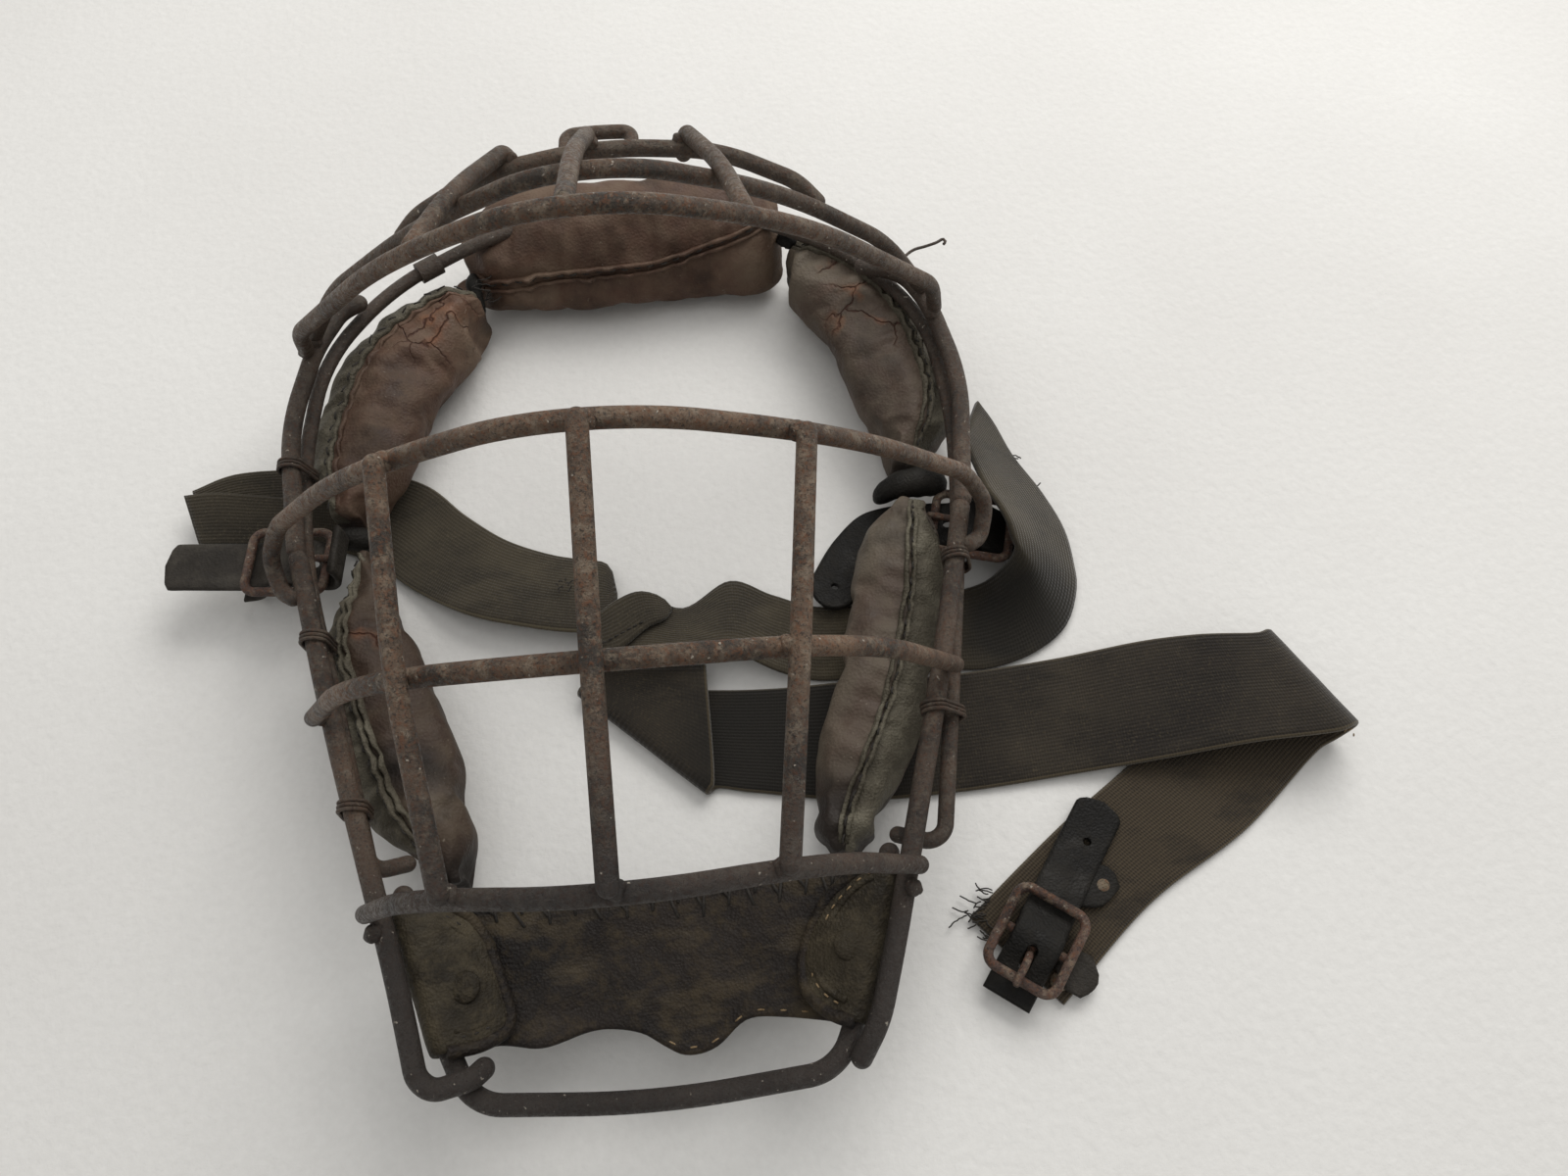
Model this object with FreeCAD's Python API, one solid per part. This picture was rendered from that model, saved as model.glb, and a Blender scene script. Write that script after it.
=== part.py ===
import FreeCAD, Part

import math
import os

# Wire face mask with padded rim, leather chin sling and a three-ended webbing harness.
# The mask lies on its back: +Z is out of the cage (the way the wearer looks), +Y points
# to the forehead, +X to the right. The origin is the middle of the face opening, in the
# plane that the mask and its harness rest on. All sizes are millimetres.

# ---- driving sizes -------------------------------------------------------------------
CHIN_TO_ORIGIN = 150.0      # chin bar datum to the middle of the face opening, along Y
BAR_R = 2.4                 # cage bars and posts
SIDE_R = 2.75               # side wires and chin wire
RING_R = 2.25               # pad ring
LOOP_R = 2.0                # strap loop at the brow
BITE = 0.25                 # depth that brazed wires share
RING_Z = 28.0
SIDE_Z = 34.0
PAD_FLOOR = 2.5             # pads rest just above the webbing that passes under them
COVER_T = 1.8               # pad leather
PAD_GAP = 0.3               # between a pad's cover and its stuffing
WEB_T = 1.8                 # elastic webbing
WEB_PRESS = 0.05            # webbing that lies on the table is pressed flat by this much
BILLET_W = 16.0             # straps of the two side buckles
CROWN_BILLET_W = 14.0
BILLET_T = 2.0
BUCKLE_R = 1.4              # buckle frame wire
BUCKLE_HALF_W = 10.2        # centre line of the rails from the buckle's middle
BUCKLE_HALF_L = 12.0        # centre line of the end bars from the buckle's middle
CENTRE_BAR_R = 1.2
CENTRE_BAR_DROP = 2.0
CHAPE_T = 1.2               # leather strip that holds a buckle by its centre bar
CHAPE_HALF_W = 6.8
PIN_GAP = 0.1               # running clearance on the centre bar
TONGUE_R = 1.1
RIVET_R = 2.2

os.makedirs("parts", exist_ok=True)
shapes = {}


def V(x, y, z):
    return FreeCAD.Vector(x, y, z)


def mirrored(points, side):
    """Points given for the right side, on the side asked for (1 right, -1 left)."""
    return [(side * x, y, z) for x, y, z in points]


def across(half, left_half=None):
    """A path from left to right: each half starts at the middle and lists positive X."""
    left = [(-x, y, z) for x, y, z in reversed((left_half or half)[1:])]
    return left + half


# ---- bent wires ----------------------------------------------------------------------
def bent_path(points, share=0.45):
    """Straight runs joined by tangent arcs as large as the two runs allow."""
    p = [V(*q) for q in points]
    edges = []
    here = p[0]
    for k in range(1, len(p) - 1):
        before = p[k] - p[k - 1]
        after = p[k + 1] - p[k]
        turn = before.getAngle(after)
        if turn < 0.02:
            continue
        reach = share * min(before.Length, after.Length)
        a = p[k] - before.normalize() * reach
        b = p[k] + after.normalize() * reach
        radius = reach / math.tan(turn / 2)
        inward = ((a + b) * 0.5 - p[k]).normalize()
        middle = p[k] + inward * (radius / math.cos(turn / 2) - radius)
        if (a - here).Length > 1e-4:
            edges.append(Part.LineSegment(here, a).toShape())
        edges.append(Part.Arc(a, middle, b).toShape())
        here = b
    edges.append(Part.LineSegment(here, p[-1]).toShape())
    return Part.Wire(edges)


def tube(path, radius, round_ends=True):
    first = path.Edges[0]
    start = first.valueAt(first.FirstParameter)
    ahead = first.tangentAt(first.FirstParameter)
    ring = Part.Wire(Part.makeCircle(radius, start, ahead))
    body = path.makePipeShell([ring], True, False)
    if round_ends:
        last = path.Edges[-1]
        stop = last.valueAt(last.LastParameter)
        body = body.fuse([Part.makeSphere(radius, start), Part.makeSphere(radius, stop)])
        body = body.removeSplitter()
    return body


def wire(points, radius, share=0.45, round_ends=True):
    return tube(bent_path(points, share), radius, round_ends)


def spot_at_x(path, x):
    """Place and direction of a left-to-right path where it crosses X = x."""
    spots = path.discretize(Number=600)
    k = min(range(1, len(spots) - 1), key=lambda i: abs(spots[i].x - x))
    return spots[k], (spots[k + 1] - spots[k - 1]).normalize()


def rest_on(path, x, along, lift):
    """A point that stands off a cage bar by lift, square to the bar and to along."""
    spot, ahead = spot_at_x(path, x)
    out = ahead.cross(along)
    if out.z < 0:
        out = out * -1
    return spot + out.normalize() * lift


def plain(v):
    return (v.x, v.y, v.z)


# ---- cage bars: middle point first, then out to the right end -------------------------
cheek_bars = {
    "cheek_bar_upper": [
        (0, 127, 147), (58, 140, 109), (97, 161, 52), (104.5, 159, 37), (102, 150.5, 32), (98, 147.5, 34),
    ],
    "cheek_bar_middle": [(0, 81, 127), (58, 93, 97), (87.8, 109, 37.2)],
    "cheek_bar_lower": [(0, 38, 111), (46, 47, 86), (70.3, 55, 37.6)],
}
brow_bars = {
    "brow_bar_front": [(0, 178, 152), (52, 200.5, 115), (97.5, 231, 50), (99.5, 232, 38)],
    "brow_bar_middle": [(0, 210.5, 131), (50, 233, 92), (84, 244, 56), (95.5, 241, 38.8)],
    "brow_bar_rear": [(0, 252.5, 93.5), (34, 251.5, 90.5), (56, 244, 84), (61.6, 239.4, 80)],
}
# The left shoulders of these bars have been pushed in.
dented = {
    "brow_bar_front": [(0, 178, 152), (50, 196, 116), (97, 228, 52), (100, 232.5, 38.2)],
    "brow_bar_middle": [(0, 210.5, 131), (50, 229, 92), (86, 240, 56), (97.5, 238, 38.8)],
    "brow_bar_rear": [(0, 252.5, 93.5), (34, 248.5, 90), (53, 240.5, 84), (58.1, 237.6, 79.6)],
}
paths = {}
for name, half in {**cheek_bars, **brow_bars}.items():
    paths[name] = bent_path(across(half, dented.get(name)))
    shapes[name] = tube(paths[name], BAR_R)

# ---- cage posts lie on the cheek bars ---------------------------------------------------
STAND_OFF = 2 * BAR_R - BITE
POST_SHORT = 1.6            # a post's round end stops this far short of the bar's far side
for name, at_upper, at_middle, at_lower in (
    ("cage_post_left", -44.5, -41.5, -33.0),
    ("cage_post_centre", 0.0, 0.0, 0.0),
    ("cage_post_right", 45.0, 39.5, 33.0),
):
    downward = V((at_lower - at_upper), -95, -20).normalize()
    on_upper = rest_on(paths["cheek_bar_upper"], at_upper, downward, STAND_OFF)
    on_middle = rest_on(paths["cheek_bar_middle"], at_middle, downward, STAND_OFF)
    on_lower = rest_on(paths["cheek_bar_lower"], at_lower, downward, STAND_OFF)
    first = on_upper + (on_middle - on_upper).normalize() * POST_SHORT
    last = on_lower + (on_middle - on_lower).normalize() * POST_SHORT
    shapes[name] = wire([plain(first), plain(on_middle), plain(last)], BAR_R, share=0.3)

# ---- brow posts stand on the front bar, cross the middle one and hook over the rear ------
for name, at_front, at_middle, at_rear in (
    ("brow_post_left", -44.0, -36.0, -26.0),
    ("brow_post_centre", -2.0, -2.0, -2.5),
    ("brow_post_right", 39.5, 33.0, 25.0),
):
    backward = V((at_rear - at_front), 62, -52).normalize()
    over_middle = rest_on(paths["brow_bar_middle"], at_middle, backward, STAND_OFF)
    front, _ = spot_at_x(paths["brow_bar_front"], at_front)
    rear, _ = spot_at_x(paths["brow_bar_rear"], at_rear)
    over_rear = rest_on(paths["brow_bar_rear"], at_rear, backward, STAND_OFF)
    outward = (over_rear - rear).normalize()
    foot = front + (over_middle - front).normalize() * STAND_OFF
    crest = over_rear + backward * (0.9 * BAR_R)
    tip = rear + backward * (2.1 * BAR_R) - outward * (0.6 * BAR_R)
    run = [plain(q) for q in (foot, over_middle, crest, tip)]
    shapes[name] = wire(run, BAR_R)

# ---- side wires, pad ring, chin wire ---------------------------------------------------
UPPER_SIDE = [(92, 250, SIDE_Z), (99, 236, SIDE_Z), (104.5, 206, SIDE_Z), (98.5, 163, SIDE_Z)]
LOWER_SIDE = [(97.5, 160, SIDE_Z), (84.5, 110, SIDE_Z), (62.5, 38, SIDE_Z)]
RIGHT_KNOB = [(79, 253, 35)]
LEFT_KNOB = [(86, 252.5, 35)]
RIGHT_FOOT = [(56, 19, 33.8), (50.8, 11.3, 28.9)]
LEFT_FOOT = [(57, 15.5, 33), (53, 12.5, 32.6), (44, 14.5, 31.0), (42.0, 17.0, 27.8)]
shapes["upper_side_wire_right"] = wire(mirrored(RIGHT_KNOB + UPPER_SIDE, 1), SIDE_R)
shapes["upper_side_wire_left"] = wire(mirrored(LEFT_KNOB + UPPER_SIDE, -1), SIDE_R)
shapes["lower_side_wire_right"] = wire(mirrored(LOWER_SIDE + RIGHT_FOOT, 1), SIDE_R)
shapes["lower_side_wire_left"] = wire(mirrored(LOWER_SIDE + LEFT_FOOT, -1), SIDE_R)

RING_BROW = [
    (42, 286, RING_Z), (78, 264, RING_Z), (98, 236, RING_Z), (101.5, 198, RING_Z), (97.5, 158, RING_Z),
]
RING_RIGHT_END = [(88, 108, RING_Z), (79, 62, 27), (67, 66, 26)]
RING_LEFT_END = [(86, 118, RING_Z), (73, 68, 27), (64, 70, 25)]
left_ring = mirrored(RING_BROW + RING_LEFT_END, -1)
ring_path = bent_path(list(reversed(left_ring)) + [(0, 291, RING_Z)] + RING_BROW + RING_RIGHT_END)
shapes["pad_ring"] = tube(ring_path, RING_R)

CHIN_HALF = [(0, 5.5, 25), (45, 9, 26), (52, 24, 26.6), (64, 61, 27.4)]
shapes["chin_wire"] = wire(across(CHIN_HALF), SIDE_R)

LOOP_HALF = [(0, 262, 90), (9.5, 261.5, 90), (9.5, 254, 91)]
shapes["strap_loop"] = wire(across(LOOP_HALF), LOOP_R, share=0.4)


# ---- thin wire ties hold the ring to the side wires --------------------------------------
TIE_R = 0.55
TIE_TURNS = 3


def tie(y, side, side_x, ring_x):
    """Three oval turns of thin wire round a side wire and the ring."""
    a = V(side * side_x, y, SIDE_Z)
    b = V(side * ring_x, y, RING_Z)
    along = (a - b).normalize()
    square = along.cross(V(0, 1, 0))
    r = SIDE_R + TIE_R + 0.3
    turns = []
    for k in range(TIE_TURNS):
        lift = V(0, (k - 1) * 2.1 * TIE_R, 0)
        p = [a + square * r + lift, a + along * r + lift, a - square * r + lift]
        q = [b - square * r + lift, b - along * r + lift, b + square * r + lift]
        loop = Part.Wire([
            Part.Arc(*p).toShape(),
            Part.LineSegment(p[2], q[0]).toShape(),
            Part.Arc(*q).toShape(),
            Part.LineSegment(q[2], p[0]).toShape(),
        ])
        first = loop.Edges[0]
        start = Part.Wire(Part.makeCircle(TIE_R, p[0], first.tangentAt(first.FirstParameter)))
        turns.append(loop.makePipeShell([start], True, False))
    return turns


def wire_x(path, y, side):
    """X of a wire where it crosses Y = y, on one side of the mask."""
    spots = [s for s in path.discretize(Number=900) if s.x * side > 0]
    return abs(min(spots, key=lambda s: abs(s.y - y)).x)


side_paths = {
    1: [bent_path(mirrored(UPPER_SIDE, 1)), bent_path(mirrored(LOWER_SIDE, 1))],
    -1: [bent_path(mirrored(UPPER_SIDE, -1)), bent_path(mirrored(LOWER_SIDE, -1))],
}
ties = []
for y, side in ((192, -1), (134, -1), (84, -1), (144, 1), (98, 1)):
    path = side_paths[side][0 if y > 160 else 1]
    ties += tie(y, side, wire_x(path, y, side), wire_x(ring_path, y, side))
shapes["wire_ties"] = Part.makeCompound(ties)

# A flat band round the ring, between the brow pad and the left temple pad.
brow_side = [s for s in ring_path.discretize(Number=900) if s.y > 200]
CLIP_X = -66.0
CLIP_L = 8.0
CLIP_T = 1.2
CLIP_SLACK = 0.1
clip_spot = min(brow_side, key=lambda s: abs(s.x - CLIP_X))
clip_way = V(1, 0.62, 0).normalize()
clip_start = clip_spot - clip_way * (CLIP_L / 2)
band = Part.makeCylinder(RING_R + CLIP_SLACK + CLIP_T, CLIP_L, clip_start, clip_way)
bore = Part.makeCylinder(RING_R + CLIP_SLACK, CLIP_L + 2, clip_start - clip_way, clip_way)
shapes["pad_clip"] = band.cut(bore)


# ---- stuffed leather pads: (x, y, half width) from end to end --------------------------
PAD_HALF_H = 12.3
BROW_HALF_H = 16.8          # the brow pad is thicker, and the ring runs through it
BROW_LEAN = 6.0              # its top leans towards the forehead
RING_SLACK = 0.1            # round the ring where it runs through the brow pad
pads = {
    "brow_pad": [
        (-57, 284, 5), (-48, 284, 13), (-25, 285, 16), (0, 286, 17),
        (25, 286, 16), (46, 284, 13), (55, 285, 5),
    ],
    "temple_pad_right": [
        (57, 277, 5), (66, 269, 14), (79, 251, 16.5), (87, 228, 16.5), (89.5, 204, 13.5), (86, 186, 5),
    ],
    "temple_pad_left": [
        (-50, 264, 5), (-60, 258, 14), (-75, 243, 17), (-84, 222, 16.5), (-88, 200, 14), (-91, 181, 5),
    ],
    "cheek_pad_right": [
        (86, 173, 5), (82, 160, 11), (77, 138, 13.5), (70, 115, 13),
        (62, 93, 12), (56, 75, 9), (53, 64, 4),
    ],
    "cheek_pad_left": [
        (-91, 172, 5), (-88, 158, 11), (-82, 138, 13), (-74, 115, 14),
        (-66, 93, 13.5), (-57, 75, 9), (-53, 64, 4),
    ],
}
PAD_ROUND = 16              # points round each pad section


def pad_body(stations, half_h, lean, shrink):
    """A stuffed sausage, flattened where it rests; shrink moves its skin inwards."""
    rings = []
    for k, (x, y, half) in enumerate(stations):
        x0, y0, _ = stations[max(k - 1, 0)]
        x1, y1, _ = stations[min(k + 1, len(stations) - 1)]
        way = V(x1 - x0, y1 - y0, 0).normalize()
        side = V(way.y, -way.x, 0)
        tall = half_h * min(1.0, 0.35 + half / 20.0)
        middle = V(x, y, PAD_FLOOR + 0.82 * half_h)
        if k == 0:
            middle = middle + way * shrink
        if k == len(stations) - 1:
            middle = middle - way * shrink
        points = []
        for i in range(PAD_ROUND):
            turn = 2 * math.pi * i / PAD_ROUND
            spread = side * ((half - shrink) * math.cos(turn)) + V(0, lean * math.sin(turn), 0)
            points.append(middle + spread + V(0, 0, (tall - shrink) * math.sin(turn)))
        curve = Part.BSplineCurve()
        curve.interpolate(points, PeriodicFlag=True)
        rings.append(Part.Wire(curve.toShape()))
    body = Part.makeLoft(rings, True, False)
    below = Part.makeBox(400, 400, 60, V(-200, -50, PAD_FLOOR + shrink - 60))
    return body.cut(below)


# Hollows in the pads for the buckles and the billets: opposite corners of each box.
gates = {
    "left": [((-110, 155, 4), (-88, 181, 40))],
    "right": [
        ((87, 147, 3), (116, 183, 20)),
        ((66, 148, 1.5), (100, 183, 11.5)),
        ((46, 130, 1.5), (80, 174, 8.5)),
    ],
}


def gate_boxes(side, margin):
    boxes = []
    for low, high in gates[side]:
        size = V(*high) - V(*low) + V(1, 1, 1) * (2 * margin)
        boxes.append(Part.makeBox(size.x, size.y, size.z, V(*low) - V(1, 1, 1) * margin))
    return boxes


for name, stations in pads.items():
    half_h, lean = (BROW_HALF_H, BROW_LEAN) if name == "brow_pad" else (PAD_HALF_H, 0.0)
    outer = pad_body(stations, half_h, lean, 0)
    hollow = pad_body(stations, half_h, lean, COVER_T)
    stuffing = pad_body(stations, half_h, lean, COVER_T + PAD_GAP)
    if name == "brow_pad":
        outer = outer.cut(tube(ring_path, RING_R + RING_SLACK, False))
        hollow = hollow.cut(tube(ring_path, RING_R + RING_SLACK + COVER_T, False))
        stuffing = stuffing.cut(tube(ring_path, RING_R + RING_SLACK + COVER_T + PAD_GAP, False))
    side = name.split("_")[-1]
    if side in gates:
        outer = outer.cut(gate_boxes(side, 0))
        hollow = hollow.cut(gate_boxes(side, COVER_T))
        stuffing = stuffing.cut(gate_boxes(side, COVER_T + PAD_GAP))
    shapes[name] = outer.cut(hollow)
    shapes[name + "_stuffing"] = stuffing


# ---- chin sling ---------------------------------------------------------------------------
SLING_T = 2.2
SLING_TURN_R = 4.25
SLING_SAG = 6.0
FLAP = 17.0


def sling_line(y):
    """Centre line of the sling's section: flap, round the left leg, belly, right leg, flap."""
    right_leg = [s for s in chin_path.discretize(Number=900) if s.x > 0]
    spot = min(right_leg, key=lambda s: abs(s.y - y))
    leg = spot.x
    z = spot.z
    belly = z - SLING_TURN_R

    def belly_z(x):
        return belly - SLING_SAG * (1 - (x / leg) ** 2)

    tip = leg - FLAP
    line = [(-tip, belly_z(tip) + SLING_T + 0.5), (-(leg - FLAP / 2), z + 1.4)]
    for k in range(7):
        turn = math.radians(90 + 30 * k)
        line.append((-leg + SLING_TURN_R * math.cos(turn), z + SLING_TURN_R * math.sin(turn)))
    for k in range(1, 12):
        x = -leg + 2 * leg * k / 12
        line.append((x, belly_z(x)))
    for k in range(7):
        turn = math.radians(-90 + 30 * k)
        line.append((leg + SLING_TURN_R * math.cos(turn), z + SLING_TURN_R * math.sin(turn)))
    line += [(leg - FLAP / 2, z + 1.4), (tip, belly_z(tip) + SLING_T + 0.5)]
    return line


def strip_face(line, y, low, high):
    """A closed wire round a section line in the plane Y = y, from offset low to high."""
    sides = []
    for offset in (low, high):
        points = []
        for k, (x, z) in enumerate(line):
            x0, z0 = line[max(k - 1, 0)]
            x1, z1 = line[min(k + 1, len(line) - 1)]
            way = V(x1 - x0, 0, z1 - z0).normalize()
            points.append(V(x, y, z) + V(way.z, 0, -way.x) * offset)
        curve = Part.BSplineCurve()
        curve.interpolate(points)
        sides.append((curve.toShape(), points))
    (inner, a), (outer, b) = sides
    far_end = Part.LineSegment(a[-1], b[-1]).toShape()
    near_end = Part.LineSegment(b[0], a[0]).toShape()
    return Part.Wire([inner, far_end, outer, near_end])


chin_path = bent_path(across(CHIN_HALF))
SLING_TOP = 58.5
SLING_LOW = 16.0
sling_ys = [SLING_LOW, 20.0, 25.0, 40.0, SLING_TOP]
sling_lines = [sling_line(y) for y in sling_ys]
faces = [strip_face(line, y, -SLING_T / 2, SLING_T / 2) for line, y in zip(sling_lines, sling_ys)]
sling = Part.makeLoft(faces, True, True)
hem = [
    (-70, 19), (-52, 21.5), (-42, 22.5), (-33, 21), (-17, 24.5), (-5, 23), (7, 16.5), (18, 18), (24, 23.5),
    (40, 22.5), (70, 16),
]
hem_curve = Part.BSplineCurve()
hem_curve.interpolate([V(x, y, 0) for x, y in hem])
hem_ends = [V(70, 0, 0), V(-70, 0, 0)]
hem_face = Part.Face(Part.Wire([
    hem_curve.toShape(),
    Part.LineSegment(V(70, 16, 0), hem_ends[0]).toShape(),
    Part.LineSegment(*hem_ends).toShape(),
    Part.LineSegment(hem_ends[1], V(-70, 19, 0)).toShape(),
]))
below_hem = hem_face.extrude(V(0, 0, 60))
shapes["chin_sling"] = sling.cut(below_hem)

LINING_T = 1.4
LINING_FROM = 9              # the lining covers the belly, between the two legs
LINING_TO = 20
lining_in = SLING_T / 2 + 0.15
lining = Part.makeLoft(
    [strip_face(line[LINING_FROM:LINING_TO], y, lining_in, lining_in + LINING_T)
     for line, y in zip(sling_lines, sling_ys)], True, True)
shapes["chin_lining"] = lining.cut(below_hem)


def rivet(place, height, head_r):
    """A shank with a domed head on top and a small burr below; place is under the burr."""
    shank = Part.makeCylinder(RIVET_R * 0.7, height, place)
    burr = Part.makeCylinder(RIVET_R, 0.8, place - V(0, 0, 0.8))
    dome = Part.makeSphere(head_r * 1.25, place + V(0, 0, height - head_r * 0.75))
    slab = Part.makeBox(4 * head_r, 4 * head_r, 3 * head_r, place + V(-2 * head_r, -2 * head_r, height))
    return shank.fuse([burr, dome.common(slab)])


shapes["chin_rivets"] = Part.makeCompound([
    rivet(V(-46.5, 35, 14.0), 9.2, 5.0),
    rivet(V(47.5, 40, 14.6), 9.2, 5.0),
])


# ---- webbing and leather straps ---------------------------------------------------------
def ribbon(stations, thick):
    """A flat strap from pairs of edge points, straight between one pair and the next."""
    mids = [(V(*a) + V(*b)) * 0.5 for a, b in stations]
    rings = []
    for k, (a, b) in enumerate(stations):
        ahead = mids[min(k + 1, len(mids) - 1)] - mids[max(k - 1, 0)]
        width = V(*b) - V(*a)
        up = width.cross(ahead).normalize() * (thick / 2)
        corners = [V(*a) + up, V(*b) + up, V(*b) - up, V(*a) - up]
        rings.append(Part.makePolygon(corners + corners[:1]))
    return Part.makeLoft(rings, True, True)


WEB_Z = WEB_T / 2 - WEB_PRESS   # middle of the webbing where it lies on the table
TABLE = Part.makeBox(600, 600, 20, V(-300, -100, -20))
back_left = [
    ((-145, 203, 8), (-140.5, 186, 3)),
    ((-132, 208, 8), (-126, 185, 2)),
    ((-112, 210, 5), (-110, 184, 1)),
    ((-94, 211, WEB_Z), (-98, 180, WEB_Z)),
    ((-72, 203, WEB_Z), (-86, 174, WEB_Z)),
    ((-58, 190, WEB_Z), (-72, 162, 3)),
    ((-44, 179, WEB_Z), (-54, 150, 8)),
    ((-28, 172, WEB_Z), (-32, 143, 9)),
    ((-8, 167, 2), (-9, 139, 9)),
]
shapes["back_strap_left"] = ribbon(back_left, WEB_T).cut(TABLE)
back_right = [
    ((-12, 143, 13), (-12, 131, 13)),
    ((0, 150, 11), (0, 130, 14)),
    ((12, 146, 9), (12, 129, 13)),
    ((27, 157, 3), (27, 129, 10)),
    ((40, 152, WEB_Z), (40, 124, 5)),
    ((52, 147, WEB_Z), (52, 121.5, WEB_Z)),
    ((70, 146, WEB_Z), (70, 121.5, WEB_Z)),
    ((90, 147, WEB_Z), (90, 121.5, WEB_Z)),
    ((106, 149, 3), (106, 121, 1)),
    ((112, 150, 12), (120, 125, 1)),
    ((114.5, 151.5, 21), (131, 133, 1)),
    ((113.2, 154, 25), (136.5, 145, 1.5)),
    ((112.3, 158, 27), (137, 153, 2.5)),
    ((110, 164, 28), (135.5, 164.5, 5)),
    ((107.3, 170, 28), (130, 176.5, 8.5)),
    ((105.5, 178, 27), (121.5, 189, 13)),
    ((104.8, 184, 26), (116.5, 201, 16)),
    ((104.5, 190, 26), (112.5, 208, 18)),
]
shapes["back_strap_right"] = ribbon(back_right, WEB_T).cut(TABLE)

FOLD_STEPS = 6


def fold(right, left, out, steps=FOLD_STEPS):
    """Edge pairs round a fold line: right and left are (x, y, high z, low z)."""
    pairs = []
    for k in range(steps + 1):
        turn = math.pi * k / steps
        pair = []
        for x, y, high, low in (left, right):
            r = (high - low) / 2
            push = r * math.sin(turn)
            pair.append((x + out[0] * push, y + out[1] * push, (high + low) / 2 + r * math.cos(turn)))
        pairs.append(tuple(pair))
    return pairs


crown = [((18, 127.5, 6.6), (-20, 129, 6.6))]
crown += fold((-20, 125, 5.2, WEB_Z), (18, 90, 5.2, WEB_Z), (-0.707, -0.707))
crown += [
    ((30, 88, WEB_Z), (30, 120.5, WEB_Z)),
    ((60, 83, WEB_Z), (60, 120.5, WEB_Z)),
    ((92, 83, WEB_Z), (92, 120, WEB_Z)),
    ((125, 85, 2.4), (125, 122, 1.8)),
    ((150, 86, 6.5), (150, 124, 5.0)),
    ((175, 87, 12), (168, 123.5, 8.5)),
]
crown += fold((186, 121.5, 11, WEB_Z), (200, 87, 16.5, WEB_Z), (0.93, 0.36))
crown += [
    ((170, 64, WEB_Z), (147, 91, WEB_Z)),
    ((139, 46.5, WEB_Z), (118, 71, WEB_Z)),
    ((109, 21.5, WEB_Z), (87, 47, WEB_Z)),
]
shapes["crown_strap"] = ribbon(crown, WEB_T).cut(TABLE)

# ---- buckles, each made flat about its own middle and then put in place ------------------
def buckle_frame():
    a, b, r = BUCKLE_HALF_L, BUCKLE_HALF_W, 3.5
    corners = [(-a, 0), (-a, b), (a, b), (a, -b), (-a, -b), (-a, 0)]
    return wire_loop(corners, r, BUCKLE_R)


def wire_loop(corners, round_r, radius):
    """A closed wire frame in the plane Z = 0 with rounded corners."""
    edges = []
    here = V(*corners[0], 0)
    for k in range(1, len(corners) - 1):
        p = V(*corners[k], 0)
        back = (V(*corners[k - 1], 0) - p).normalize()
        on = (V(*corners[k + 1], 0) - p).normalize()
        a = p + back * round_r
        b = p + on * round_r
        middle = p + (back + on) * (round_r * (1 - math.sqrt(0.5)))
        edges.append(Part.LineSegment(here, a).toShape())
        edges.append(Part.Arc(a, middle, b).toShape())
        here = b
    edges.append(Part.LineSegment(here, V(*corners[0], 0)).toShape())
    path = Part.Wire(edges)
    start = V(*corners[0], 0)
    ring = Part.Wire(Part.makeCircle(radius, start, V(0, 1, 0)))
    return path.makePipeShell([ring], True, False)


def cross_pin(radius, half_width):
    """A cylinder along the centre bar's axis."""
    return Part.makeCylinder(radius, 2 * half_width, V(0, -half_width, -CENTRE_BAR_DROP), V(0, 1, 0))


def buckle():
    return buckle_frame().fuse(cross_pin(CENTRE_BAR_R, BUCKLE_HALF_W))


EYE_R = CENTRE_BAR_R + PIN_GAP + 1.0
EYE_W = 2.6


def tongue():
    """An eye on the centre bar and a prong that rests on the far end bar."""
    eye = cross_pin(EYE_R, EYE_W / 2)
    rest = BUCKLE_R + TONGUE_R + 0.05
    run = [(1.5, 0, -1.6), (3.4, 0, -1.5), (6.8, 0, rest), (BUCKLE_HALF_L + 1.6, 0, rest)]
    prong = wire(run, TONGUE_R, share=0.4)
    return eye.fuse(prong).cut(cross_pin(CENTRE_BAR_R + PIN_GAP, EYE_W))


LOOP_OUT_R = CENTRE_BAR_R + PIN_GAP + CHAPE_T


def chape(run, half_width):
    """A leather strip folded round the centre bar, with a gap for the tongue's eye."""
    loop = cross_pin(LOOP_OUT_R, half_width)
    under = [(0, -CENTRE_BAR_DROP - LOOP_OUT_R + CHAPE_T / 2)]
    flat = ribbon([((u, half_width, w), (u, -half_width, w)) for u, w in under + run], CHAPE_T)
    hole = cross_pin(CENTRE_BAR_R + PIN_GAP, half_width + 1)
    slot_w = EYE_W + 1.0
    slot = Part.makeBox(10, slot_w, 9, V(-4.2, -slot_w / 2, -CENTRE_BAR_DROP - 4.5))
    return loop.fuse(flat).cut(hole).cut(slot)


WEAVE_GAP = 0.9             # slack between the billet and the end bars
WEAVE_LOW = -(BUCKLE_R + BILLET_T / 2 + WEAVE_GAP)
WEAVE_HIGH = -CENTRE_BAR_DROP + LOOP_OUT_R + BILLET_T / 2 + 0.3
SLOT_W = 3.2


def woven(u):
    """Height of the billet's middle as it goes under, over and under the buckle's bars."""
    if abs(u) > BUCKLE_HALF_L:
        return WEAVE_LOW
    swing = (1 + math.cos(math.pi * u / BUCKLE_HALF_L)) / 2
    return WEAVE_LOW + (WEAVE_HIGH - WEAVE_LOW) * swing


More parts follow.
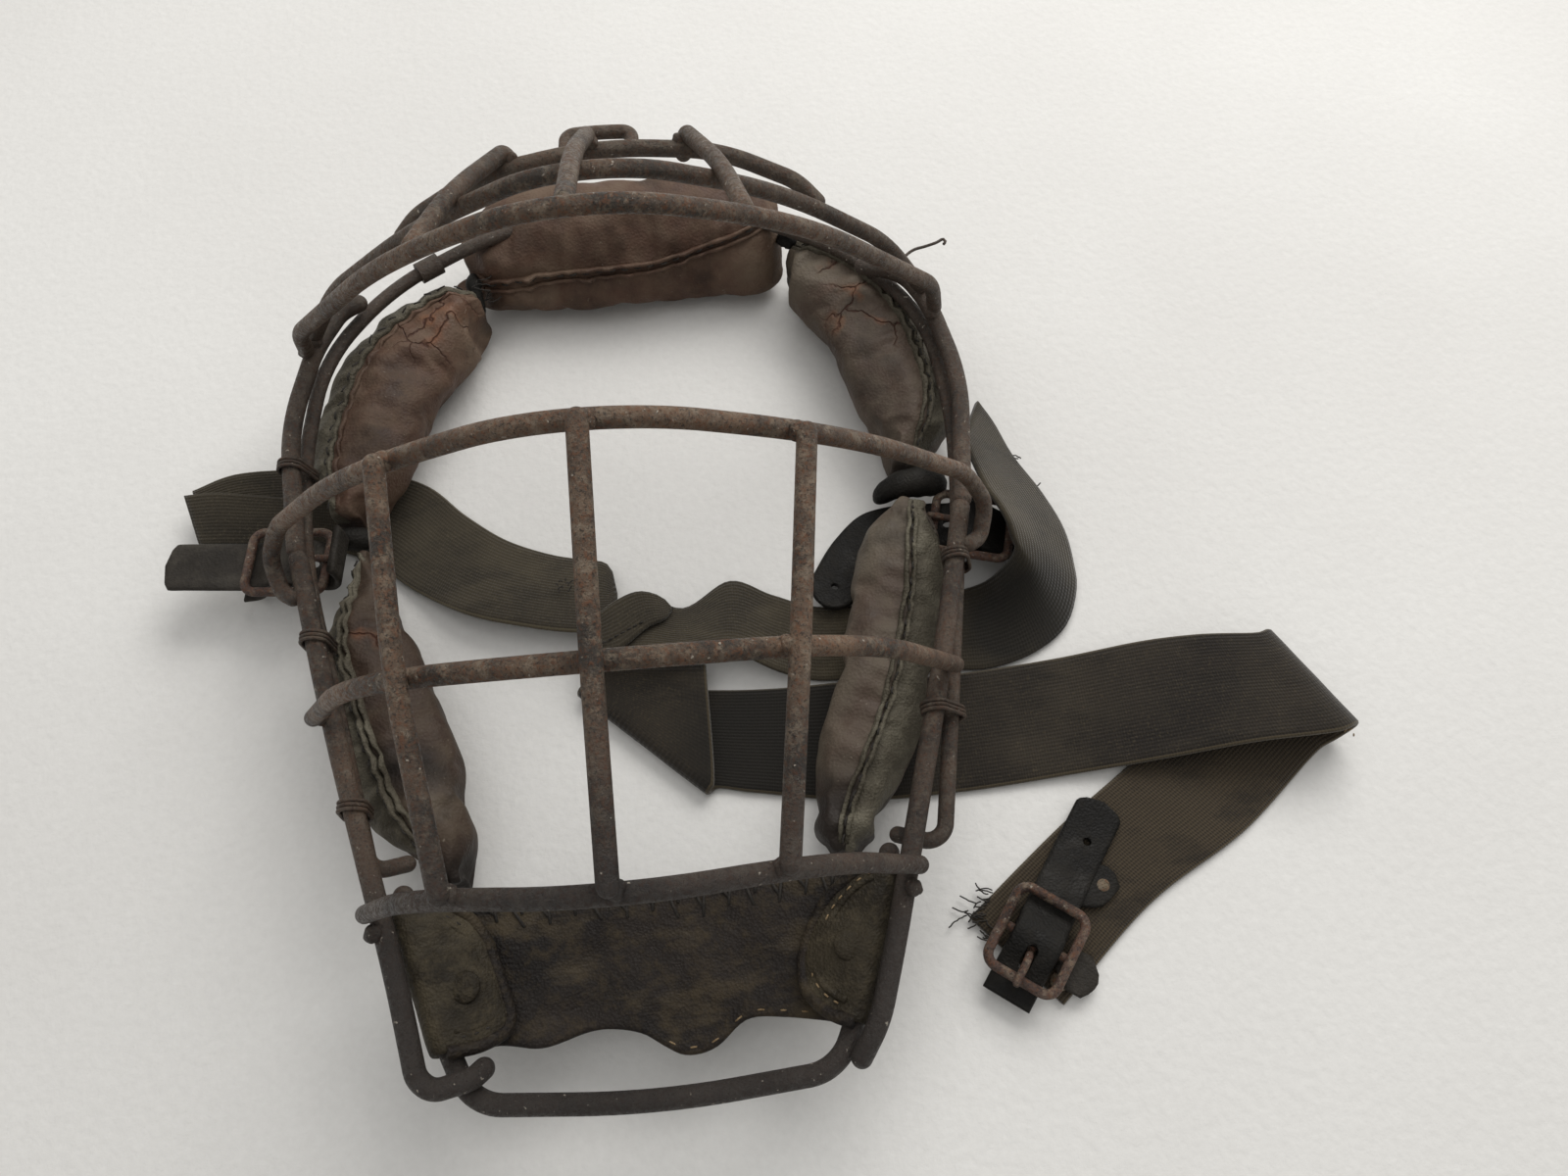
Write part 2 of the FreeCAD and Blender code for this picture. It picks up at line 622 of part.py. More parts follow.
def billet(width, before, after):
    """A leather strap through a buckle, from its tail: (u, w) or (u, w, v, turn) points."""
    half = width / 2
    edges = []
    for spot in before + [(u, woven(u)) for u in range(-12, 13, 2)] + after:
        u, w, v, turn = (spot + (0, 0))[:4]
        side_u = -half * math.sin(math.radians(turn))
        side_v = half * math.cos(math.radians(turn))
        edges.append(((u + side_u, v + side_v, w), (u - side_u, v - side_v, w)))
    strap = ribbon(edges, BILLET_T)
    slot = Part.makeBox(6.8, SLOT_W, 12, V(2.2, -SLOT_W / 2, -6))
    return strap.cut(slot)


def placed(shape, middle, heading):
    """Turn a part made about its own origin to its heading, and put it in place."""
    turn = FreeCAD.Rotation(V(0, 0, 1), heading)
    shape = shape.copy()
    shape.Placement = FreeCAD.Placement(V(*middle), turn)
    return shape


buckle_places = {
    "left": ((-107, 168, 18.5), -5.0),
    "right": ((104.5, 164.5, 13.5), 165.0),
    "crown": ((103.2, 38.2, 8.2), -126.0),
}
billets = {
    "left": billet(
        BILLET_W,
        [(-39, -3.6), (-26, -3.5)],
        [(14.6, WEAVE_LOW + 0.7), (16.8, 1.0), (17.2, 5.0), (16.8, 9.0)]),
    "right": billet(
        BILLET_W,
        [(-17, WEAVE_LOW)],
        [(15, -4.6), (18, -5.8), (22.2, -7.2, 0.3, 10), (29.7, -8.4, 3.3, 40), (34.9, -9, 10.9, 62),
         (39, -9, 22.4, 75), (41.2, -8.8, 31.8, 77)]),
    "crown": billet(
        CROWN_BILLET_W,
        [(-46, -4.7), (-34, -4.9), (-24, -4.6), (-17, -3.5)],
        [(15, -4.2), (17.5, -4.5)]),
}
chapes = {
    "left": chape([(-5, -5.6), (-12, -12.4), (-18, -14.4)], CHAPE_HALF_W),
    "right": chape([(-5, -5.3), (-9, -5.3)], CHAPE_HALF_W),
    "crown": chape([(-5, -5.3), (-14, -5.3)], CHAPE_HALF_W),
}
for which, (middle, heading) in buckle_places.items():
    shapes[which + "_buckle_frame"] = placed(buckle(), middle, heading)
    shapes[which + "_buckle_tongue"] = placed(tongue(), middle, heading)
    shapes[which + "_billet"] = placed(billets[which], middle, heading)
    shapes[which + "_chape"] = placed(chapes[which], middle, heading)

# Rivets that fix the crown buckle's leather to the end of the webbing.
shapes["crown_rivets"] = Part.makeCompound([
    rivet(V(125.4, 52, 0.8), 2.2, 2.6),
    rivet(V(108.5, 27.5, 0.8), 2.2, 2.6),
])

# ---- write one file per node -----------------------------------------------------------
for name, shape in shapes.items():
    shape = shape.copy()
    shape.translate(V(0, -CHIN_TO_ORIGIN, 0))
    shape.exportStep("parts/" + name + ".step")
    print(name, shape.isValid(), len(shape.Solids), round(shape.Volume), [round(v, 1) for v in (
        shape.BoundBox.XMin, shape.BoundBox.XMax, shape.BoundBox.YMin, shape.BoundBox.YMax,
        shape.BoundBox.ZMin, shape.BoundBox.ZMax)])
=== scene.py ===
import random
from math import copysign, cos, degrees, exp, hypot, pi, radians, sin, sqrt

import bmesh
import bpy
from mathutils import Matrix, Vector, noise
from mathutils.kdtree import KDTree


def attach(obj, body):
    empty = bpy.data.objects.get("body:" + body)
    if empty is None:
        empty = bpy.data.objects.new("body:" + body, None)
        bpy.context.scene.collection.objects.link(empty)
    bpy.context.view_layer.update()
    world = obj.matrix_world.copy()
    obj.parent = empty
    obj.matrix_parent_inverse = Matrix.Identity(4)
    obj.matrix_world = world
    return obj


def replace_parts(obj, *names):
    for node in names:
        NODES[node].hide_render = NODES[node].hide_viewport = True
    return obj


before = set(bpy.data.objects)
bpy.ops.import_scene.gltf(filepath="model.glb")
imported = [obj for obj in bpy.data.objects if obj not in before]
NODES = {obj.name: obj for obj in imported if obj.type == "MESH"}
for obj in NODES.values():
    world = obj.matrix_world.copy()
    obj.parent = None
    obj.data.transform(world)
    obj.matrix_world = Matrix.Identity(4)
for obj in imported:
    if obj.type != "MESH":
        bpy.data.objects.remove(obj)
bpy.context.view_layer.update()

MM = 0.001
CHIN_TO_ORIGIN = 150.0  # y is counted from a line at the chin, this far below the frame's origin
scene = bpy.context.scene


def at(x, y, z):
    """A place in mm, with y from the chin line, to the frame in metres."""
    return Vector((x, y - CHIN_TO_ORIGIN, z)) * MM


def bumpy(*place):
    """Smooth noise from about -1 to 1."""
    return noise.noise(Vector(place))


def put_in_scene(name, data):
    obj = bpy.data.objects.new(name, data)
    scene.collection.objects.link(obj)
    return obj


# ---- camera and light, solved from the photograph ----
CAMERA_PLACE = at(30.6, -9.9, 340.7)
SENSOR_MM, LENS_MM = 36, 27.16
DAYLIGHT = (1.0, 0.985, 0.96)
ROOM_GLOW = 0.43
PITCH, YAW, ROLL = radians(64.16), radians(4.706), radians(0.384)
level_right = Vector((cos(YAW), -sin(YAW), 0))
level_ahead = Vector((sin(YAW), cos(YAW), 0))
look = level_ahead * cos(PITCH) - Vector((0, 0, sin(PITCH)))
level_up = level_ahead * sin(PITCH) + Vector((0, 0, cos(PITCH)))
right = level_right * cos(ROLL) - level_up * sin(ROLL)
up = level_right * sin(ROLL) + level_up * cos(ROLL)
camera = put_in_scene("camera", bpy.data.cameras.new("camera"))
camera.data.sensor_width = SENSOR_MM
camera.data.lens = LENS_MM
camera.data.clip_start = 0.01
turned = Matrix((right, up, -look)).transposed().to_4x4()
camera.matrix_world = Matrix.Translation(CAMERA_PLACE) @ turned
scene.camera = camera
scene.view_settings.view_transform = "Standard"


def area_light(name, place, target, size, power, colour=(1, 1, 1)):
    data = bpy.data.lights.new(name, "AREA")
    data.shape = "RECTANGLE"
    data.size, data.size_y = size
    data.energy = power
    data.color = colour
    lamp = put_in_scene(name, data)
    lamp.location = place
    lamp.rotation_euler = (Vector(target) - Vector(place)).to_track_quat("-Z", "Y").to_euler()


area_light("window", (0.55, 0.95, 1.05), (0.05, 0.05, 0), (1.3, 0.8), 17.5, DAYLIGHT)
area_light("ceiling", (-0.3, 0.1, 1.7), (0, 0, 0), (1.8, 1.8), 8)
world = bpy.data.worlds.new("room")
scene.world = world
world.use_nodes = True
backdrop = world.node_tree.nodes["Background"]
backdrop.inputs["Color"].default_value = (*DAYLIGHT, 1)
backdrop.inputs["Strength"].default_value = ROOM_GLOW


# ---- materials ----
BUMP_STRENGTH = 0.8
RUST, WORN_STEEL, CHIPPED_STEEL = (0.15, 0.062, 0.03), (0.21, 0.165, 0.118), (0.4, 0.36, 0.3)
# Steel colours: painted shade near the chin and low down, and a darker tone towards the brow.
CHIN_SHADE, BROW_DARKENING, LOW_SHADE = (0.019, 0.0165, 0.0155), (0.042, 0.034, 0.027), (0.034, 0.028, 0.024)
CRACK, CRACK_HALO, LEATHER_DUST = (0.04, 0.012, 0.006), (0.2, 0.075, 0.03), (0.3, 0.26, 0.2)
# Dark spots on the pad leather; painted shadow on the webbing, with some dirt on the crown strap; browner
# webbing.
LEATHER_DARK_SPOT, WEB_SHADOW_AND_STAIN, WEB_BROWN = (0.008, 0.006, 0.005), (0.009, 0.008, 0.0065), (0.06, 0.043, 0.024)
RIB_MM, WEFT_MM, RIM_MM = 1.15, 0.8, 1.3


class Paint:
    """A procedural material on one Principled shader, built a node at a time."""

    def __init__(self, name):
        self.material = bpy.data.materials.new(name)
        self.material.use_nodes = True
        self.tree = self.material.node_tree
        self.shader = self.tree.nodes["Principled BSDF"]
        self.coords = self.tree.nodes.new("ShaderNodeTexCoord").outputs

    def node(self, kind, inputs, **settings):
        n = self.tree.nodes.new("ShaderNode" + kind)
        for key, value in settings.items():
            setattr(n, key, value)
        self.fill(n, inputs)
        return n

    def fill(self, n, inputs):
        for socket, value in inputs.items():
            self.put(n.inputs[socket], value)

    def put(self, socket, value):
        if isinstance(value, bpy.types.NodeSocket):
            self.tree.links.new(value, socket)
        elif isinstance(value, tuple):
            socket.default_value = (*value, 1) if len(socket.default_value) == 4 else value
        else:
            socket.default_value = value

    def noise(self, scale, detail=4, rough=0.55, vector=None):
        vector = vector or self.coords["Object"]
        inputs = {"Vector": vector, "Scale": scale, "Detail": detail, "Roughness": rough}
        return self.node("TexNoise", inputs).outputs[0]

    def stretched(self, *scale):
        return self.node("Mapping", {"Vector": self.coords["Object"], "Scale": scale}).outputs[0]

    def cells(self, scale, feature="F1", vector=None):
        inputs = {"Vector": vector or self.coords["Object"], "Scale": scale}
        return self.node("TexVoronoi", inputs, feature=feature).outputs["Distance"]

    def ramp(self, value, stops):
        n = self.node("ValToRGB", {0: value})
        while len(n.color_ramp.elements) < len(stops):
            n.color_ramp.elements.new(0.5)
        for element, (place, colour) in zip(n.color_ramp.elements, stops):
            element.position = place
            element.color = (colour, colour, colour, 1) if isinstance(colour, (int, float)) else (*colour, 1)
        return n.outputs[0]

    def mix(self, share, a, b):
        return self.node("Mix", {0: share, 6: a, 7: b}, data_type="RGBA").outputs[2]

    def sum(self, how, a, b=0.0):
        return self.node("Math", {0: a, 1: b}, operation=how).outputs[0]

    def times(self, a, b):
        return self.sum("MULTIPLY", a, b)

    def patch(self, base, value, start, full, share, colour):
        """Mix a colour in where a value is high: none below start, and its share above full."""
        return self.mix(self.ramp(value, [(start, 0.0), (full, share)]), base, colour)

    def vector_sum(self, how, a, b, socket=1):
        n = self.node("VectorMath", {0: a, socket: b}, operation=how)
        return n.outputs["Value" if how == "DISTANCE" else "Vector"]

    def split(self, output):
        return self.node("SeparateXYZ", {0: self.coords[output]}).outputs

    def near(self, spots):
        """1 inside the given spots, each (x, y, z, radius) in mm, and 0 outside them."""
        share = 0.0
        for x, y, z, radius in spots:
            gap = self.vector_sum("DISTANCE", self.coords["Object"], tuple(at(x, y, z)))
            inside = self.ramp(self.sum("DIVIDE", gap, radius * MM), [(0.5, 1.0), (1.0, 0.0)])
            share = self.sum("MAXIMUM", share, inside)
        return share

    def finish(self, colour, rough, height, depth, specular=0.5, metal=0.0):
        bump = self.node("Bump", {"Strength": BUMP_STRENGTH, "Distance": depth, "Height": height})
        self.fill(self.shader, {"Base Color": colour, "Roughness": rough, "Metallic": metal,
                                "Specular IOR Level": specular, "Normal": bump.outputs[0]})
        return self.material


def shade(colour, share):
    return tuple(share * c for c in colour)


def rusty_steel(name, dark, brown, bright, shade_and_darkening=1.0):
    """Old wire: rusted, pitted and worn, with painted shade at the chin and low down, and darker towards the
    brow.
    """
    p = Paint(name)
    patches = p.noise(42, 6, 0.65)
    specks = p.noise(800, 6, 0.75)
    pits = p.noise(1400, 4, 0.7)
    base = p.ramp(patches, [(0.38, dark), (0.5, brown), (0.64, bright)])
    base = p.patch(base, specks, 0.5, 0.6, 0.7, RUST)
    base = p.patch(base, p.noise(260, 6, 0.75), 0.5, 0.62, 0.7, WORN_STEEL)
    base = p.patch(base, pits, 0.53, 0.64, 0.85, shade(dark, 0.35))
    _, y, z = p.split("Object")
    # Painted shade: darker towards the chin.
    base = p.patch(base, p.times(y, -4.0), 0.26, 0.44, 0.86 * shade_and_darkening, CHIN_SHADE)
    # Darker towards the brow.
    base = p.patch(base, p.times(y, 4.0), 0.14, 0.34, 0.5 * shade_and_darkening, BROW_DARKENING)
    # Painted shade: darker low down, near the table.
    low_shade = p.ramp(p.times(z, 10.0), [(0.36, 0.5 * shade_and_darkening), (0.6, 0.0)])
    base = p.mix(low_shade, base, LOW_SHADE)
    base = p.patch(base, p.noise(640, 2), 0.7, 0.75, 0.8, CHIPPED_STEEL)
    rough = p.ramp(specks, [(0.38, 0.26), (0.6, 0.78)])
    height = p.sum("ADD", p.times(specks, 0.9), p.times(pits, 0.6))
    bare = p.ramp(patches, [(0.35, 0.25), (0.6, 0.0)])
    return p.finish(base, rough, height, 0.0009, specular=0.42, metal=bare)


def cracked_leather(name, brown, red, tan, spots, dark_spots):
    """Old smooth leather: mottled and scuffed, cracked at some (x, y, z, radius) spots in mm and darker at
    others.
    """
    p = Paint(name)
    cloudy = p.noise(26, 5, 0.6)
    mottle = p.noise(130, 6, 0.65)
    base = p.ramp(cloudy, [(0.36, brown), (0.52, red), (0.68, tan)])
    base = p.patch(base, mottle, 0.42, 0.72, 0.65, tan)
    base = p.patch(base, p.noise(60, 5), 0.52, 0.68, 0.55, shade(brown, 0.45))
    wander = p.node("TexNoise", {"Vector": p.coords["Object"], "Scale": 170}).outputs["Color"]
    bent = p.vector_sum("ADD", p.coords["Object"], p.vector_sum("SCALE", wander, 0.007, "Scale"))
    edge = p.cells(56, "DISTANCE_TO_EDGE", bent)
    line = p.ramp(edge, [(0.0, 1.0), (0.026, 0.0)])
    where = p.near(spots)
    # Darker at the dark spots, mostly at the pads' ends and joins.
    base = p.mix(p.times(p.near(dark_spots), 0.8), base, LEATHER_DARK_SPOT)
    cracks = p.times(line, where)
    halo = p.times(p.ramp(edge, [(0.0, 1.0), (0.13, 0.0)]), p.times(where, where))
    patchy = p.ramp(p.noise(75, 3), [(0.48, 0.0), (0.6, 0.6)])
    base = p.mix(p.times(halo, patchy), base, CRACK_HALO)
    base = p.mix(cracks, base, CRACK)
    base = p.patch(base, p.noise(900, 3), 0.68, 0.78, 0.5, LEATHER_DUST)
    height = p.sum("ADD", p.times(p.cells(1100), 0.35), p.times(mottle, 0.9))
    height = p.sum("SUBTRACT", height, p.times(cracks, 1.2))
    rough = p.ramp(mottle, [(0.3, 0.5), (0.7, 0.78)])
    return p.finish(base, rough, height, 0.0006, specular=0.28)


def plain_leather(name, dark, light, scuff, depth=0.0005):
    """Leather of the sling and the straps: mottled, scuffed and streaked."""
    p = Paint(name)
    cloudy = p.noise(34, 5, 0.6)
    mottle = p.noise(240, 6, 0.65)
    base = p.ramp(cloudy, [(0.36, dark), (0.64, light)])
    base = p.patch(base, mottle, 0.5, 0.72, 0.6, scuff)
    base = p.patch(base, p.noise(44, 5, 0.6, p.stretched(1, 2, 1)), 0.5, 0.64, 0.7, scuff)
    grain = p.sum("ADD", p.times(p.cells(1300), 0.5), mottle)
    rough = p.ramp(mottle, [(0.3, 0.5), (0.7, 0.78)])
    return p.finish(base, rough, grain, depth, specular=0.2)


def webbing(name, dark, light, edge, half_mm, dark_spots, browner_from=9.0):
    """Elastic: ribs along it, a fine weft across, and browner after browner_from metres along."""
    p = Paint(name)
    along, over, _ = p.split("UV")
    rib = p.sum("SINE", p.times(over, 2 * pi / (RIB_MM * MM)))
    weft = p.sum("SINE", p.times(along, 2 * pi / (WEFT_MM * MM)))
    cloth = p.sum("ADD", p.sum("ADD", p.times(rib, 0.34), p.times(weft, 0.16)), 0.5)
    fuzz = p.noise(1500, 2)
    base = p.ramp(p.noise(22, 5, 0.6), [(0.36, dark), (0.66, light)])
    late = p.sum("GREATER_THAN", along, browner_from)
    base = p.mix(p.times(late, 0.75), base, WEB_BROWN)
    # Painted shade in the grooves between ribs and weft, stronger on the later part.
    groove_shade = p.times(p.ramp(cloth, [(0.15, 1.0), (0.75, 0.0)]), p.sum("ADD", p.times(late, 0.4), 0.1))
    base = p.mix(groove_shade, base, shade(dark, 0.3))
    base = p.patch(base, p.noise(48, 6, 0.6, p.stretched(1, 2.5, 1)), 0.5, 0.66, 0.55, shade(dark, 0.55))
    base = p.patch(base, fuzz, 0.55, 0.75, 0.4, edge)
    # Painted shadow at the dark spots, with some dirt on the crown strap.
    base = p.mix(p.times(p.near(dark_spots), 0.85), base, WEB_SHADOW_AND_STAIN)
    rim = p.sum("GREATER_THAN", p.sum("ABSOLUTE", over), (half_mm - RIM_MM) * MM)
    base = p.mix(p.times(rim, 0.55), base, edge)
    relief = p.times(cloth, p.sum("ADD", p.times(late, 0.4), 0.45))
    height = p.sum("ADD", relief, p.times(fuzz, 0.35))
    p.put(p.shader.inputs["Sheen Weight"], 0.25)
    return p.finish(base, 0.88, height, 0.0005, specular=0.2)


def thread(name, dark, light):
    p = Paint(name)
    twist = p.noise(900, 3)
    return p.finish(p.ramp(twist, [(0.35, dark), (0.65, light)]), 0.85, twist, 0.0002)


STEEL = rusty_steel("rusted_wire", (0.038, 0.03, 0.023), (0.1, 0.066, 0.043), (0.16, 0.1, 0.06))
BUCKLE = rusty_steel("rusted_buckle", (0.036, 0.023, 0.018), (0.078, 0.046, 0.035), (0.13, 0.075, 0.055), 0.0)
BRASS = rusty_steel("tarnished_rivet", (0.05, 0.04, 0.025), (0.1, 0.075, 0.045), (0.16, 0.12, 0.075), 0.0)
PAD_RED = cracked_leather(
    "pad_leather_brown", (0.04, 0.022, 0.014), (0.086, 0.046, 0.03), (0.135, 0.094, 0.064),
    ((-64, 251, 26, 19), (-45, 288, 30, 9)),
    ((-55, 284, 10, 11), (-50, 264, 12, 9), (-54, 66, 12, 14), (-91, 177, 10, 12), (55, 284, 12, 8)))
PAD_TAN = cracked_leather(
    "pad_leather_tan", (0.042, 0.028, 0.02), (0.074, 0.05, 0.036), (0.115, 0.095, 0.07),
    ((81, 243, 26, 21), (70, 264, 24, 8)),
    ((54, 67, 17, 25), (87, 183, 10, 12), (57, 277, 14, 10), (86, 171, 12, 8)))
# Darker copy of the pad leather for the left cheek pad: partly its own darker colour, partly painted shade.
PAD_DARK_AND_SHADED = cracked_leather(
    "pad_leather_dark_and_shaded", (0.022, 0.014, 0.01), (0.05, 0.03, 0.02), (0.085, 0.065, 0.045),
    ((-80, 140, 24, 10),), ((-54, 66, 12, 16), (-91, 172, 10, 12), (-66, 96, 20, 12)))
PAD_EDGE = plain_leather(
    "pad_edge_leather", (0.05, 0.042, 0.029), (0.1, 0.088, 0.064), (0.16, 0.145, 0.108), 0.0008)
SLING = plain_leather(
    "sling_leather", (0.008, 0.006, 0.005), (0.019, 0.0142, 0.0112), (0.06, 0.045, 0.026), 0.0007)
FLAP = plain_leather(
    "flap_leather", (0.015, 0.0115, 0.007), (0.038, 0.03, 0.018), (0.078, 0.063, 0.039), 0.0007)
STRAP = plain_leather(
    "strap_leather", (0.0045, 0.004, 0.0033), (0.009, 0.008, 0.0066), (0.021, 0.0185, 0.015))
SIDE_STRAP = plain_leather(
    "side_strap_leather", (0.016, 0.0135, 0.0105), (0.034, 0.029, 0.024), (0.06, 0.053, 0.043))
# The back webbing's dark spots are painted shadow inside its right curl.
BACK_WEB = webbing("back_webbing", (0.024, 0.019, 0.012), (0.052, 0.042, 0.026), (0.1, 0.082, 0.05), 16,
                   ((122, 137, 8, 22), (112, 134, 3, 18)))
# The crown webbing's dark spots are painted shadow under the cage, with some dirt.
CROWN_WEB = webbing("crown_webbing", (0.013, 0.01, 0.0075), (0.031, 0.0245, 0.0165), (0.078, 0.06, 0.033), 19,
                    ((36, 103, 1, 34), (60, 102, 1, 30)), 0.235)
DARK_THREAD = thread("dark_thread", (0.012, 0.01, 0.008), (0.03, 0.025, 0.02))
TAN_THREAD = thread("tan_thread", (0.14, 0.09, 0.04), (0.32, 0.23, 0.13))

floor_paint = Paint("paper")
paper = floor_paint.ramp(floor_paint.noise(3.5, 5), [(0.3, (0.66, 0.65, 0.63)), (0.7, (0.74, 0.735, 0.715))])
paper = floor_paint.patch(paper, floor_paint.noise(420, 3), 0.3, 0.8, 0.18, (0.5, 0.49, 0.47))
PAPER = floor_paint.finish(paper, 0.85, floor_paint.noise(300, 4), 0.0004)


# ---- mesh helpers ----
def add_mesh(name, points, faces, material, uvs=None, body="mask"):
    """A mesh object that rides on a body. uvs gives one pair for each point."""
    mesh = bpy.data.meshes.new(name)
    mesh.from_pydata([tuple(p) for p in points], [], faces)
    if uvs:
        layer = mesh.uv_layers.new(name="UVMap")
        for loop in mesh.loops:
            layer.data[loop.index].uv = uvs[loop.vertex_index]
    mesh.materials.append(material)
    mesh.polygons.foreach_set("use_smooth", [True] * len(mesh.polygons))
    bm = bmesh.new()
    bm.from_mesh(mesh)
    bmesh.ops.recalc_face_normals(bm, faces=bm.faces)
    bm.to_mesh(mesh)
    bm.free()
    obj = put_in_scene(name, mesh)
    if body:
        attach(obj, body)
    return obj


def centre(points):
    return sum(points, Vector((0, 0, 0))) / len(points)


def loft(name, points, count, material, ends=None, uvs=None):
    """A closed skin over rings of count points. Each end is a fan round a middle point."""
    last = len(points) - count
    faces = []
    for a in range(0, last, count):
        for j in range(count):
            near, next_one = a + j, a + (j + 1) % count
            faces.append((near, next_one, next_one + count, near + count))
    for j in range(count):
        faces.append(((j + 1) % count, j, len(points)))
        faces.append((last + j, last + (j + 1) % count, len(points) + 1))
    ends = ends or [centre(points[:count]), centre(points[-count:])]
    return add_mesh(name, points + ends, faces, material, uvs)


def finer(obj):
    divide = obj.modifiers.new("finer", "SUBSURF")
    divide.levels = divide.render_levels = 1


def smooth(rows, step, place):
    """Rows of numbers on a smooth curve through the given rows, about step apart by their place()."""
    lengths = [max((place(b) - place(a)).length, 1e-6) for a, b in zip(rows, rows[1:])]
    gaps = [sqrt(g) for g in lengths]
    runs = [[(q - p) / gap for p, q in zip(a, b)] for a, b, gap in zip(rows, rows[1:], gaps)]
    slopes = [runs[0]]
    for k in range(1, len(gaps)):
        w = gaps[k] / (gaps[k] + gaps[k - 1])
        slopes.append([b * w + a * (1 - w) for b, a in zip(runs[k - 1], runs[k])])
    slopes.append(runs[-1])
    result = []
    for k, gap in enumerate(gaps):
        count = max(1, round(lengths[k] / step))
        for i in range(count):
            t = i / count
            h0 = (1 + 2 * t) * (1 - t) ** 2
            h1 = t * (1 - t) ** 2
            h2 = t * t * (3 - 2 * t)
            h3 = t * t * (t - 1)
            result.append([h0 * p + h1 * gap * m + h2 * q + h3 * gap * n for p, m, q, n in
                           zip(rows[k], slopes[k], rows[k + 1], slopes[k + 1])])
    result.append(list(rows[-1]))
    return result


def tube(name, points, radius, material, count=10, taper=None):
    """A round tube through points in metres."""
    verts = []
    side = None
    for k, p in enumerate(points):
        ahead = (points[min(k + 1, len(points) - 1)] - points[max(k - 1, 0)]).normalized()
        if side is None:
            side = ahead.orthogonal().normalized()
        side = (side - ahead * side.dot(ahead)).normalized()
        other = ahead.cross(side)
        r = radius * (taper(k / (len(points) - 1)) if taper else 1)
        for j in range(count):
            turn = 2 * pi * j / count
            verts.append(p + side * (r * cos(turn)) + other * (r * sin(turn)))
    return loft(name, verts, count, material, [points[0], points[-1]])


def join(name, parts):
    """One object from several, which keep their materials."""
    for o in bpy.context.selected_objects:
        o.select_set(False)
    for o in parts:
        o.select_set(True)
    bpy.context.view_layer.objects.active = parts[0]
    bpy.ops.object.join()
    parts[0].name = name
    return parts[0]


# ---- straps ----
WEB_T = 1.8
WEB_Z = WEB_T / 2  # height of webbing's middle when it lies on the table
LOWEST = 0.05  # nothing hangs lower than this, in mm
WAVE_ALONG, WAVE_ACROSS = 14, 12


def middle_of(row):
    return Vector([(row[i] + row[i + 3]) / 2 for i in range(3)])


def band(name, stations, thick, material, step=2.0, across=16, wave=0.25, seed=0.0, round_ends=(0, 0)):
    """A flat strap with a slight wave. A station is the x, y and z of both edges, in mm."""
    rows = smooth(stations, step, middle_of)
    for row in rows:
        row[2] = max(row[2], thick / 2)
        row[5] = max(row[5], thick / 2)
    mids = [middle_of(r) for r in rows]
    length = [0.0]
    for a, b in zip(mids, mids[1:]):
        length.append(length[-1] + (b - a).length)
    e = thick / 2
    halves = sorted((Vector(row[3:]) - Vector(row[:3])).length / 2 for row in rows)
    usual_half = halves[len(halves) // 2]  # for the pattern, which doesn't narrow at folds and ends
    points, uvs = [], []
    for k, row in enumerate(rows):
        a, b = Vector(row[:3]), Vector(row[3:])
        ahead = mids[min(k + 1, len(mids) - 1)] - mids[max(k - 1, 0)]
        normal = (b - a).cross(ahead).normalized()
        half = (b - a).length / 2
        share = 1.0
        for reach, gap in ((round_ends[0], length[k]), (round_ends[1], length[-1] - length[k])):
            if gap < reach:
                share = min(share, sqrt(max(1 - ((reach - gap) / reach) ** 2, 0.02)))
        run = (b - a).normalized()
        half *= share
        face = [(half - e * 0.8) * (2 * j / across - 1) for j in range(across + 1)]
        ring = [(v, e) for v in face]
        ring += [(half - 0.2 * e, 0.55 * e), (half, 0.0), (half - 0.2 * e, -0.55 * e)]
        ring += [(v, -e) for v in reversed(face)]
        ring += [(-half + 0.2 * e, -0.55 * e), (-half, 0.0), (-half + 0.2 * e, 0.55 * e)]
        for v, w in ring:
            lift = wave * bumpy(length[k] / WAVE_ALONG + seed, v / WAVE_ACROSS, seed)
            spot = mids[k] + run * v + normal * (w + lift)
            spot.z = max(spot.z, LOWEST)
            points.append(at(*spot))
            uvs.append((length[k] * MM, v / half * usual_half * MM))
    uvs += [(0, 0), (length[-1] * MM, 0)]
    return loft(name, points, len(ring), material, uvs=uvs)


